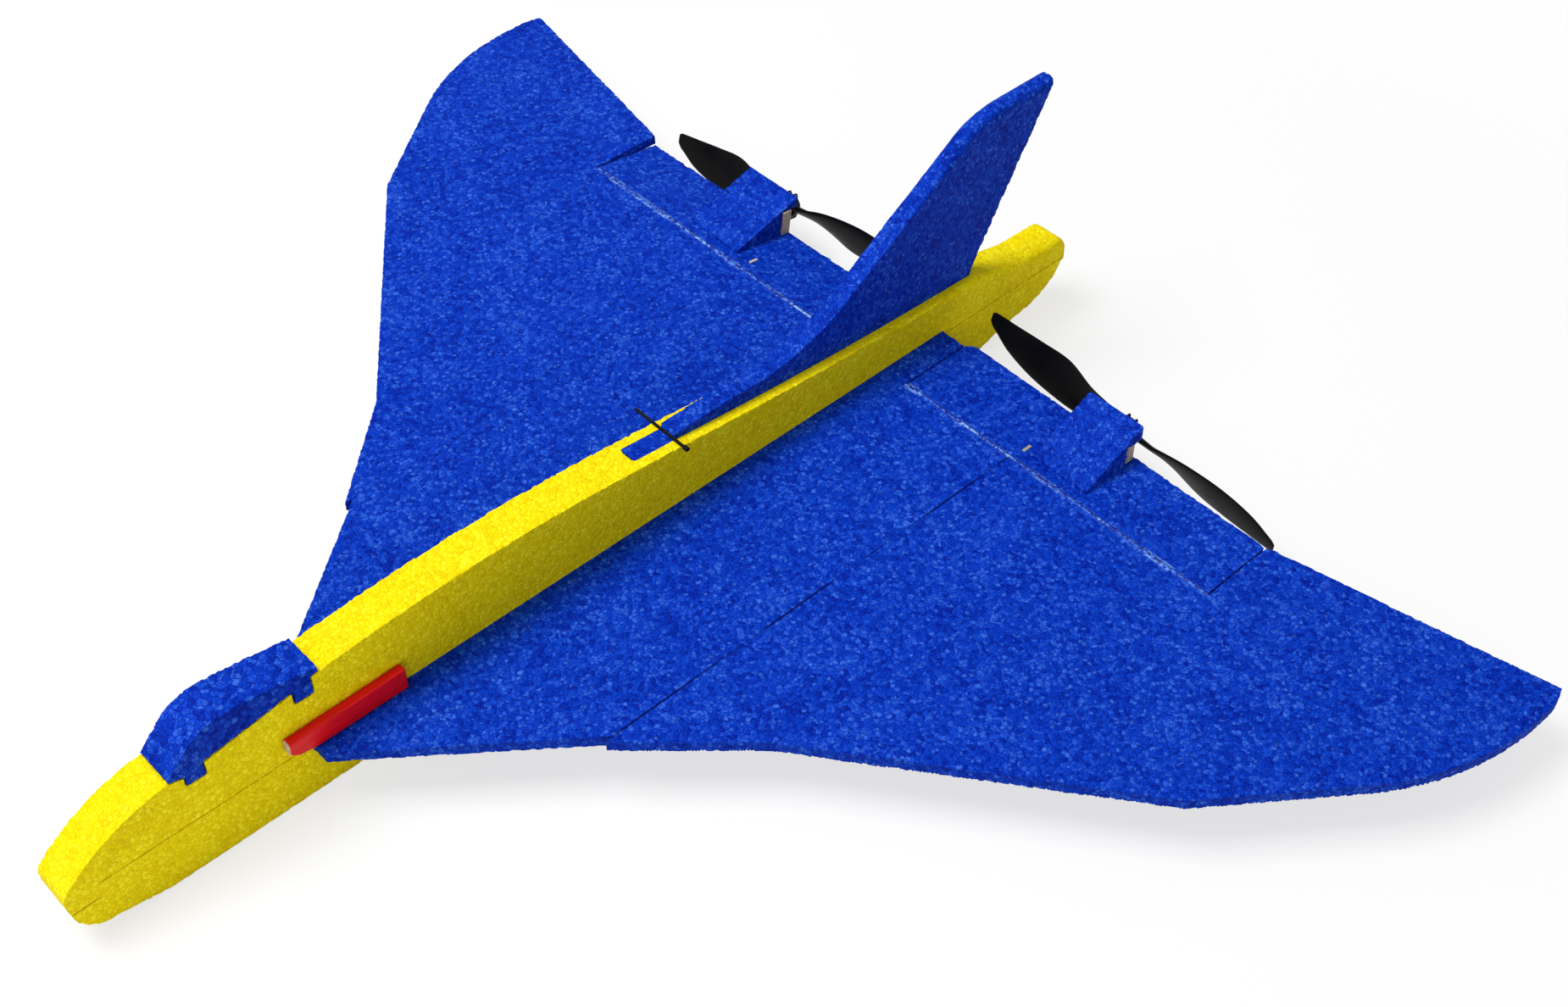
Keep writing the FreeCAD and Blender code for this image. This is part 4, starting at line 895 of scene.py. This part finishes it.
def sand_edges(piece, node, axis, start, end, most):
    """Round an upright slab's long upper edges, by a radius that grows along an axis."""
    shape = opened(frame["nodes"][node].data)
    corners = [corner.co.copy() for corner in shape.verts]
    upper = [face for face in shape.faces if abs(face.normal.x) < 0.2 and face.normal.z > 0.3]
    rim = bvhtree.BVHTree.FromPolygons(corners, [[corner.index for corner in face.verts] for face in upper])
    shape.free()
    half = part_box(node)[1].x
    edge = piece.data.attributes["edge"].data
    for corner in piece.data.vertices:
        size = most * share(getattr(corner.co, axis), start, end)
        out = abs(corner.co.x) - (half - size)
        if size <= 0.0 or out <= 0.0:
            continue
        normal, depth = rim.find_nearest(corner.co, size)[1::2]
        if normal is None:
            continue
        inward = size - depth
        reach = math.hypot(out, inward)
        if reach > size:
            corner.co -= normal * inward * (1.0 - size / reach)
            corner.co.x = math.copysign(half - size + out * size / reach, corner.co.x)
            edge[corner.index].value = 0.0


def foam_piece(node, material, seed, sanding=()):
    """A foam piece: crisp hand-cut edges, beads, and glued faces that stay flat."""
    settings = bpy.context.scene.wing_foam
    piece = node_copy(node, f"{node}_foam")
    area = sum(face.area for face in piece.data.polygons)
    grid_over(piece, max(settings.grid, math.sqrt(area / GRID_FACES)))
    if sanding:
        sand_edges(piece, node, *sanding)
    glued = glued_faces(node)
    gaps = [glued.find_nearest(corner.co, FREE)[3] for corner in piece.data.vertices]
    mark(piece, "free", [1.0 if gap is None else share(gap, HELD, FREE) for gap in gaps])
    run_nodes(
        piece,
        bead_relief(),
        {
            "Bead": settings.bead, "Relief": settings.relief, "Waver": settings.waver,
            "Chip": settings.chip, "Seed": seed, "Material": material,
        },
    )
    low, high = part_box(node)
    for corner in piece.data.vertices:
        corner.co = [min(max(value, least), most) for value, least, most in zip(corner.co, low, high)]
    smooth(piece, 50.0)
    for spent in ("edge", "free"):
        piece.data.attributes.remove(piece.data.attributes[spent])
    return stand_for(piece, material, node)


class PieceOperator:
    """What every operator here shares."""

    bl_options = {"REGISTER", "UNDO"}


class WING_OT_fuselage(PieceOperator, bpy.types.Operator):
    """Finish the yellow foam slab: front and rear above the seam, keel below it"""

    bl_idname = "flying_wing.fuselage"
    bl_label = "Fuselage"

    def execute(self, context):
        yellow = foam_material("yellow")
        foam_piece("fuselage_front", yellow, 0)
        foam_piece("fuselage_rear", yellow, 1, TAIL_SANDING)
        foam_piece("fuselage_keel", yellow, 2)
        return {"FINISHED"}


class WING_OT_canopy(PieceOperator, bpy.types.Operator):
    """Finish the blue foam canopy that keys into the top of the nose"""

    bl_idname = "flying_wing.canopy"
    bl_label = "Canopy"

    def execute(self, context):
        foam_piece("canopy", foam_material("blue", coarse=1.35), 5)
        return {"FINISHED"}


class WING_OT_panels(PieceOperator, bpy.types.Operator):
    """Finish the four sheet foam wing panels and the spar in their underside"""

    bl_idname = "flying_wing.panels"
    bl_label = "Wing panels and spar"

    def execute(self, context):
        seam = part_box("wing_inner_port")[1].x
        blue = foam_material("blue", seam_at=seam, hinged=True)
        for side in SIDES:
            for seed, part in enumerate(("inner", "outer"), 10):
                foam_piece(f"wing_{part}_{side}", blue, seed)
        dress("wing_spar", drawn_rod())
        return {"FINISHED"}


class WING_OT_elevons(PieceOperator, bpy.types.Operator):
    """Finish the elevons and the wedge of foam that fairs each motor"""

    bl_idname = "flying_wing.elevons"
    bl_label = "Elevons and motor pods"

    def execute(self, context):
        for count, side in enumerate(SIDES):
            foam_piece(f"elevon_{side}", foam_material("blue", hinged=True), 20 + count)
            foam_piece(f"motor_pod_{side}", foam_material("blue"), 24 + count)
        return {"FINISHED"}


class WING_OT_fin(PieceOperator, bpy.types.Operator):
    """Finish the fin and the black pin that crosses its root"""

    bl_idname = "flying_wing.fin"
    bl_label = "Fin and pin"

    def execute(self, context):
        foam_piece("fin", foam_material("blue"), 30, FIN_SANDING)
        softened("fin_pin", drawn_rod(), edge=0.2 * MM)
        return {"FINISHED"}


# ---------------------------------------------------------------- glue, wood, radio gear


GLUE_GAP = 0.12 * MM  # what the hinge glue leaves open before the elevon
DROOPED_EDGE = 0.9 * MM  # from the glue's middle to the front edge of the drooped starboard elevon
SERVO_JOINTS = (0.17, 0.62)  # where a servo's mouldings meet, from its inboard side outwards


@once
def glue_run():
    """Geometry nodes that lay an uneven bead of glue along a line."""
    group, tree, start, end = shape_group(
        "Glue run",
        [("Start", VECTOR), ("End", VECTOR), ("Radius", VALUE, 0.5 * MM), ("Seed", VALUE, 0.0)],
    )
    line = tree.add("GeometryNodeCurvePrimitiveLine", {"Start": start["Start"], "End": start["End"]})
    steps = tree.add("GeometryNodeResampleCurve", {"Curve": line.outputs[0], "Count": 360}).outputs[0]
    place = tree.add("GeometryNodeInputPosition").outputs[0]
    swell = tree.ramp(tree.noise(place, 420.0, seed=start["Seed"]), 0.25, 0.75, 0.78, 1.0)
    ring = tree.add("GeometryNodeCurvePrimitiveCircle", {"Resolution": 12, "Radius": 1.0}).outputs[0]
    size = tree.times(start["Radius"], swell)
    sweep = {"Curve": steps, "Profile Curve": ring, "Scale": size, "Fill Caps": True}
    swept = tree.add("GeometryNodeCurveToMesh", sweep)
    rounded = tree.add("GeometryNodeSetShadeSmooth", {0: swept.outputs[0]})
    end_shape(tree, rounded.outputs[0], start, end)
    return group


class WING_OT_hinges(PieceOperator, bpy.types.Operator):
    """Lay the glue along both elevon hinge lines"""

    bl_idname = "flying_wing.hinges"
    bl_label = "Hinge glue"

    def execute(self, context):
        for seed, side in enumerate(SIDES):
            low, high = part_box(f"hinge_bead_{side}")
            middle = (low + high) / 2
            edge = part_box(f"elevon_{side}")[0].y if side == "port" else middle.y + DROOPED_EDGE
            run = {
                "Start": (low.x, middle.y, middle.z), "End": (high.x, middle.y, middle.z),
                "Radius": edge - middle.y - GLUE_GAP, "Seed": float(seed), "Material": hinge_glue(),
            }
            piece = new_piece(f"hinge_glue_{side}", bpy.data.meshes.new("glue"))
            run_nodes(piece, glue_run(), run)
            stand_for(piece, hinge_glue(), f"hinge_bead_{side}")
        return {"FINISHED"}


class WING_OT_strips(PieceOperator, bpy.types.Operator):
    """Finish the red intake strips beside the nose"""

    bl_idname = "flying_wing.strips"
    bl_label = "Intake strips"

    def execute(self, context):
        for side in SIDES:
            softened(f"intake_strip_{side}", painted_balsa(), edge=0.9 * MM, segments=3)
        return {"FINISHED"}


class WING_OT_radio(PieceOperator, bpy.types.Operator):
    """Finish the battery, the receiver and the speed controllers inside the fuselage"""

    bl_idname = "flying_wing.radio"
    bl_label = "Radio gear"

    def execute(self, context):
        softened("battery", moulded("battery_wrap"), edge=1.6 * MM, segments=4)
        softened("receiver", moulded("receiver_case"), edge=0.8 * MM, segments=3)
        for side in SIDES:
            softened(f"speed_controller_{side}", moulded("controller_wrap"), edge=1.2 * MM, segments=3)
        return {"FINISHED"}


class WING_OT_linkages(PieceOperator, bpy.types.Operator):
    """Finish the servos, their arms and screws, the pushrods and the elevon horns"""

    bl_idname = "flying_wing.linkages"
    bl_label = "Servos and linkages"

    def execute(self, context):
        nylon, steel = moulded("white_nylon"), metal("steel")
        for side in SIDES:
            low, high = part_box(f"servo_{side}")
            inboard, outboard = sorted((low.x, high.x), key=abs)
            joints = [inboard + (outboard - inboard) * along for along in SERVO_JOINTS]
            softened(f"servo_{side}", moulded("servo_case"), edge=0.3 * MM, grooves=joints)
            softened(f"servo_arm_{side}", nylon, edge=0.18 * MM)
            softened(f"control_horn_{side}", nylon, edge=0.18 * MM)
            outward = Vector((1.0 if side == "port" else -1.0, 0.0, 0.0))
            screws(f"arm_screw_{side}", outward, head_height=0.7 * MM, material=steel)
            dress(f"pushrod_{side}", steel)
        return {"FINISHED"}


# ---------------------------------------------------------------- motors and propellers


HUB_RADIUS, HUB_BORE, HUB_LENGTH, HUB_EDGE = 6.0 * MM, 2.3 * MM, 5.0 * MM, 0.5 * MM
BLADE_SECTIONS = 45
TAPER = 0.28  # how much thinner a blade is towards its trailing edge
CAMBER = 0.1  # how far a blade is bowed, as a share of its thickness


def rotor_frame(side):
    """The frame of a motor's axis: X across, Y aft along the axis."""
    aft = motor_axis(side).normalized()
    across = Vector((1.0, 0.0, 0.0))
    turn = Matrix((across, aft, across.cross(aft))).transposed().to_4x4()
    return Matrix.Translation(Vector(JOINTS[f"rotor_{side}_spin"]["pos_m"])) @ turn


def blade_stations(settings):
    """Radius, chord, thickness and sweep of a blade's sections, from root to tip."""
    tip = settings.radius
    wide = settings.chord
    return [
        (4.6 * MM, 7.6 * MM, 4.4 * MM, 0.0),
        (12.0 * MM, 9.4 * MM, 3.6 * MM, -0.03 * wide),
        (tip * 0.29, wide * 0.70, 2.6 * MM, -0.08 * wide),
        (tip * 0.47, wide, 2.1 * MM, 0.0),
        (tip * 0.66, wide * 0.96, 1.7 * MM, 0.0),
        (tip * 0.84, wide * 0.74, 1.3 * MM, 0.05 * wide),
        (tip * 0.95, wide * 0.47, 1.0 * MM, 0.15 * wide),
        (tip * 0.985, wide * 0.37, 0.9 * MM, 0.18 * wide),
        (tip, wide * 0.25, 0.8 * MM, 0.2 * wide),
    ]


def between(stations, radius):
    """The section at a radius, on a smooth curve through the stations."""
    index = 1
    while index < len(stations) - 2 and stations[index + 1][0] < radius:
        index += 1
    before, start, end = stations[index - 1], stations[index], stations[index + 1]
    after = stations[min(index + 2, len(stations) - 1)]
    if radius < stations[1][0]:
        before, start, end, after = stations[0], stations[0], stations[1], stations[2]
    along = (radius - start[0]) / (end[0] - start[0])
    square, cube = along ** 2, along ** 3
    values = []
    for column in (1, 2, 3):
        span = end[0] - start[0]
        rise_in = (end[column] - before[column]) / max(end[0] - before[0], span) * span
        rise_out = (after[column] - start[column]) / max(after[0] - start[0], span) * span
        values.append(
            (2 * cube - 3 * square + 1) * start[column] + (cube - 2 * square + along) * rise_in
            + (3 * square - 2 * cube) * end[column] + (cube - square) * rise_out
        )
    return values


def blade_section(chord, thickness, sweep, angle, radius, count=20):
    """Points round one section: a round leading edge, a thin trailing edge and a little camber."""
    points = []
    cosine, sine = math.cos(angle), math.sin(angle)
    for step in range(count):
        turn = 2 * math.pi * step / count
        along = math.cos(turn)
        thin = 0.5 * thickness * math.sin(turn) * (1.0 - TAPER + TAPER * along)
        bow = -CAMBER * thickness * (1 - along ** 2)
        back = 0.5 * chord * along - sweep
        proud = thin + bow
        points.append(Vector((radius, proud * cosine - back * sine, proud * sine + back * cosine)))
    return points


def loft(shape, loops):
    """Skin closed loops of points and cap both ends."""
    rings = [[shape.verts.new(point) for point in loop] for loop in loops]
    for first, second in zip(rings, rings[1:]):
        for index in range(len(first)):
            after = (index + 1) % len(first)
            shape.faces.new((first[index], first[after], second[after], second[index]))
    shape.faces.new(rings[0][::-1])
    shape.faces.new(rings[-1])


def turned(shape, profile, count=48):
    """Turn a profile of (radius, distance along Y) once round the Y axis, as a closed solid."""
    rings = []
    for step in range(count):
        angle = 2 * math.pi * step / count
        sine, cosine = math.sin(angle), math.cos(angle)
        rings.append([shape.verts.new((radius * cosine, y, radius * sine)) for radius, y in profile])
    for step in range(count):
        first, second = rings[step], rings[(step + 1) % count]
        for index in range(len(profile)):
            after = (index + 1) % len(profile)
            shape.faces.new((first[index], second[index], second[after], first[after]))
    bmesh.ops.recalc_face_normals(shape, faces=shape.faces)


def ring_profile(inner, outer, front, back, edge):
    """The profile of a ring with its outer edges rounded."""
    corner = edge * 0.3
    return [
        (inner, front), (outer - edge, front), (outer - corner, front + corner), (outer, front + edge),
        (outer, back - edge), (outer - corner, back - corner), (outer - edge, back), (inner, back),
    ]


def join_solids(piece, others):
    """Fuse other pieces into this one."""
    for other in others:
        fuse = piece.modifiers.new("Fuse", "BOOLEAN")
        fuse.operation = "UNION"
        fuse.solver = "EXACT"
        fuse.object = other
    settle(piece)
    for other in others:
        bpy.data.objects.remove(other)
    return piece


def hub_middle(side, inside):
    """How far along the motor's axis the middle of the hub lies, from the CAD propeller."""
    corners = [inside @ corner.co for corner in frame["nodes"][f"propeller_{side}"].data.vertices]
    along = [corner.y for corner in corners if math.hypot(corner.x, corner.z) < HUB_BORE + 0.3 * MM]
    return (min(along) + max(along)) / 2


def propeller(side, settings, material):
    """Two blades that grow out of a plain hub."""
    node = f"propeller_{side}"
    place = rotor_frame(side)
    hub = place @ Matrix.Translation((0.0, hub_middle(side, place.inverted()), 0.0))
    stations = blade_stations(settings)
    root, tip = stations[0][0], settings.radius
    loops = []
    for step in range(BLADE_SECTIONS):
        radius = root + (tip - root) * (step / (BLADE_SECTIONS - 1)) ** 0.9
        chord, thickness, sweep = between(stations, radius)
        angle = min(math.atan(settings.pitch / (2 * math.pi * radius)), settings.root_angle)
        loops.append(blade_section(chord, thickness, sweep, angle, radius))
    blades = []
    for half_turn in (0.0, math.pi):
        shape = bmesh.new()
        loft(shape, loops)
        bmesh.ops.recalc_face_normals(shape, faces=shape.faces)
        spin = Matrix.Rotation(getattr(settings, f"{side}_rest") + half_turn, 4, "Y")
        bmesh.ops.transform(shape, verts=shape.verts, matrix=hub @ spin)
        blades.append(from_bmesh("blade", shape))
    shape = bmesh.new()
    turned(shape, ring_profile(HUB_BORE, HUB_RADIUS, -HUB_LENGTH / 2, HUB_LENGTH / 2, HUB_EDGE))
    bmesh.ops.transform(shape, verts=shape.verts, matrix=hub)
    piece = join_solids(from_bmesh(f"{node}_finished", shape), blades)
    smooth(piece, 40.0)
    return stand_for(piece, material, node)


class WING_OT_motors(PieceOperator, bpy.types.Operator):
    """Finish the plywood mounts, the motors and the screws that hold them"""

    bl_idname = "flying_wing.motors"
    bl_label = "Motors and mounts"

    def execute(self, context):
        for side in SIDES:
            softened(f"motor_mount_{side}", plywood(side), edge=0.25 * MM)
            softened(f"motor_bell_{side}", metal("motor_can"), edge=0.35 * MM, segments=3)
            dress(f"motor_stator_{side}", metal("motor_alloy"))
            dress(f"motor_shaft_{side}", metal("steel"))
            screws(f"motor_screws_{side}", motor_axis(side), head_height=0.5 * MM, material=metal("steel"))
        return {"FINISHED"}


class WING_OT_propellers(PieceOperator, bpy.types.Operator):
    """Make the propellers, and finish the collars and rubber rings that hold them"""

    bl_idname = "flying_wing.propellers"
    bl_label = "Propellers"

    def execute(self, context):
        for side in SIDES:
            propeller(side, context.scene.wing_propeller, moulded("black_nylon"))
            dress(f"prop_saver_{side}", metal("motor_alloy"))
            dress(f"prop_ring_{side}", moulded("black_rubber"))
        return {"FINISHED"}


# ---------------------------------------------------------------- stage


FLOOR_REACH = 6.0
FLOOR_DROP = 0.5 * MM
FLOOR_SHADE = (0.82, 0.82, 0.82)
LAMPS = {  # the size, and where it hangs
    "key": (1.3, (-0.65, -0.7, 2.2)),
    "fill": (1.6, (1.8, -1.6, 1.0)),
}
LIT_POINT = Vector((0.0, 0.0, 0.03))


def white_behind(tree, shader, amount):
    """Mix in plain white where the camera, a mirror or glass looks at a surface, by this much."""
    path = tree.add("ShaderNodeLightPath").outputs
    seen = tree.maths("MAXIMUM", path["Is Camera Ray"], path["Is Glossy Ray"])
    seen = tree.maths("MAXIMUM", seen, path["Is Transmission Ray"])
    white = tree.add("ShaderNodeEmission", {"Color": (1.0, 1.0, 1.0), "Strength": 1.0}).outputs[0]
    return tree.add("ShaderNodeMixShader", {0: tree.times(seen, amount), 1: shader, 2: white}).outputs[0]


def make_floor():
    """A pale floor that keeps the shadow. It is clear from below, so the underside can be seen."""
    shape = bmesh.new()
    bmesh.ops.create_grid(shape, x_segments=1, y_segments=1, size=FLOOR_REACH)
    floor = from_bmesh("floor", shape)
    tree = Coat("pale_floor")
    tree.fill(tree.shader, {"Base Color": FLOOR_SHADE, "Roughness": 0.9})
    away = tree.add("ShaderNodeVectorMath", {0: tree.object_place()}, operation="LENGTH").outputs["Value"]
    white = tree.ramp(away, 0.35, 0.8, 0.7, 1.0)
    below = tree.add("ShaderNodeNewGeometry").outputs["Backfacing"]
    clear = tree.add("ShaderNodeBsdfTransparent").outputs[0]
    surface = white_behind(tree, tree.shader.outputs[0], white)
    surface = tree.add("ShaderNodeMixShader", {0: below, 1: surface, 2: clear}).outputs[0]
    tree.fill(tree.tree.nodes["Material Output"], {"Surface": surface})
    floor.data.materials.append(tree.material)
    floor.location.z = -FLOOR_DROP


def make_lamp(name, energy):
    """A soft square lamp that faces the middle of the object."""
    size, place = LAMPS[name]
    lamp = bpy.data.lights.new(name, "AREA")
    lamp.energy = energy
    lamp.size = size
    holder = new_piece(name, lamp)
    holder.location = place
    holder.rotation_euler = (Vector(place) - LIT_POINT).to_track_quat("Z", "Y").to_euler()


def make_world(strength):
    """White surroundings that light the object at this strength."""
    world = bpy.data.worlds.new("surroundings")
    world.use_nodes = True
    tree = Tree(world.node_tree)
    around = world.node_tree.nodes["Background"]
    tree.fill(around, {"Color": (1.0, 1.0, 1.0), "Strength": strength})
    surface = white_behind(tree, around.outputs[0], 1.0)
    tree.fill(world.node_tree.nodes["World Output"], {"Surface": surface})
    bpy.context.scene.world = world


def make_camera(settings):
    """A camera that looks at its target from the chosen bearing, height and distance."""
    lens = bpy.data.cameras.new("camera")
    lens.lens = settings.lens
    lens.sensor_width = 36.0
    lens.clip_start = 0.01
    lens.clip_end = 50.0
    camera = new_piece("camera", lens)
    level = math.cos(settings.elevation)
    back = Vector((
        level * math.cos(settings.azimuth),
        -level * math.sin(settings.azimuth),
        math.sin(settings.elevation),
    ))
    camera.location = Vector(settings.target) + back * settings.distance
    camera.rotation_euler = back.to_track_quat("Z", "Y").to_euler()
    bpy.context.scene.camera = camera


class WING_OT_stage(PieceOperator, bpy.types.Operator):
    """Set the floor, the lamps, the surroundings and the camera"""

    bl_idname = "flying_wing.stage"
    bl_label = "Stage"

    def execute(self, context):
        settings = context.scene.wing_stage
        make_camera(settings)
        make_floor()
        make_world(settings.sky)
        make_lamp("key", settings.key)
        make_lamp("fill", settings.fill)
        context.scene.view_settings.view_transform = "Standard"
        return {"FINISHED"}


# ---------------------------------------------------------------- panel and running


STEPS = (
    WING_OT_fuselage, WING_OT_canopy, WING_OT_panels, WING_OT_elevons, WING_OT_fin, WING_OT_hinges,
    WING_OT_strips, WING_OT_radio, WING_OT_linkages, WING_OT_motors, WING_OT_propellers, WING_OT_stage,
)


class WING_PT_panel(bpy.types.Panel):
    """Lists the steps and the sizes and colours that they use"""

    bl_idname = "WING_PT_panel"
    bl_label = "Flying wing"
    bl_space_type = "VIEW_3D"
    bl_region_type = "UI"
    bl_category = "Flying wing"

    def draw(self, context):
        for group in SETTINGS:
            box = self.layout.box()
            settings = getattr(context.scene, group)
            for name in settings.bl_rna.properties.keys():
                if name not in ("rna_type", "name"):
                    box.prop(settings, name)
        for step in STEPS:
            self.layout.operator(step.bl_idname)


def register():
    for kind in (*SETTINGS.values(), *STEPS, WING_PT_panel):
        bpy.utils.register_class(kind)
    for name, kind in SETTINGS.items():
        setattr(bpy.types.Scene, name, bpy.props.PointerProperty(type=kind))


def unregister():
    for name in SETTINGS:
        delattr(bpy.types.Scene, name)
    for kind in reversed((*SETTINGS.values(), *STEPS, WING_PT_panel)):
        bpy.utils.unregister_class(kind)


def main():
    register()
    for step in STEPS:
        getattr(bpy.ops.flying_wing, step.bl_idname.split(".")[1])()


if __name__ == "__main__":
    main()
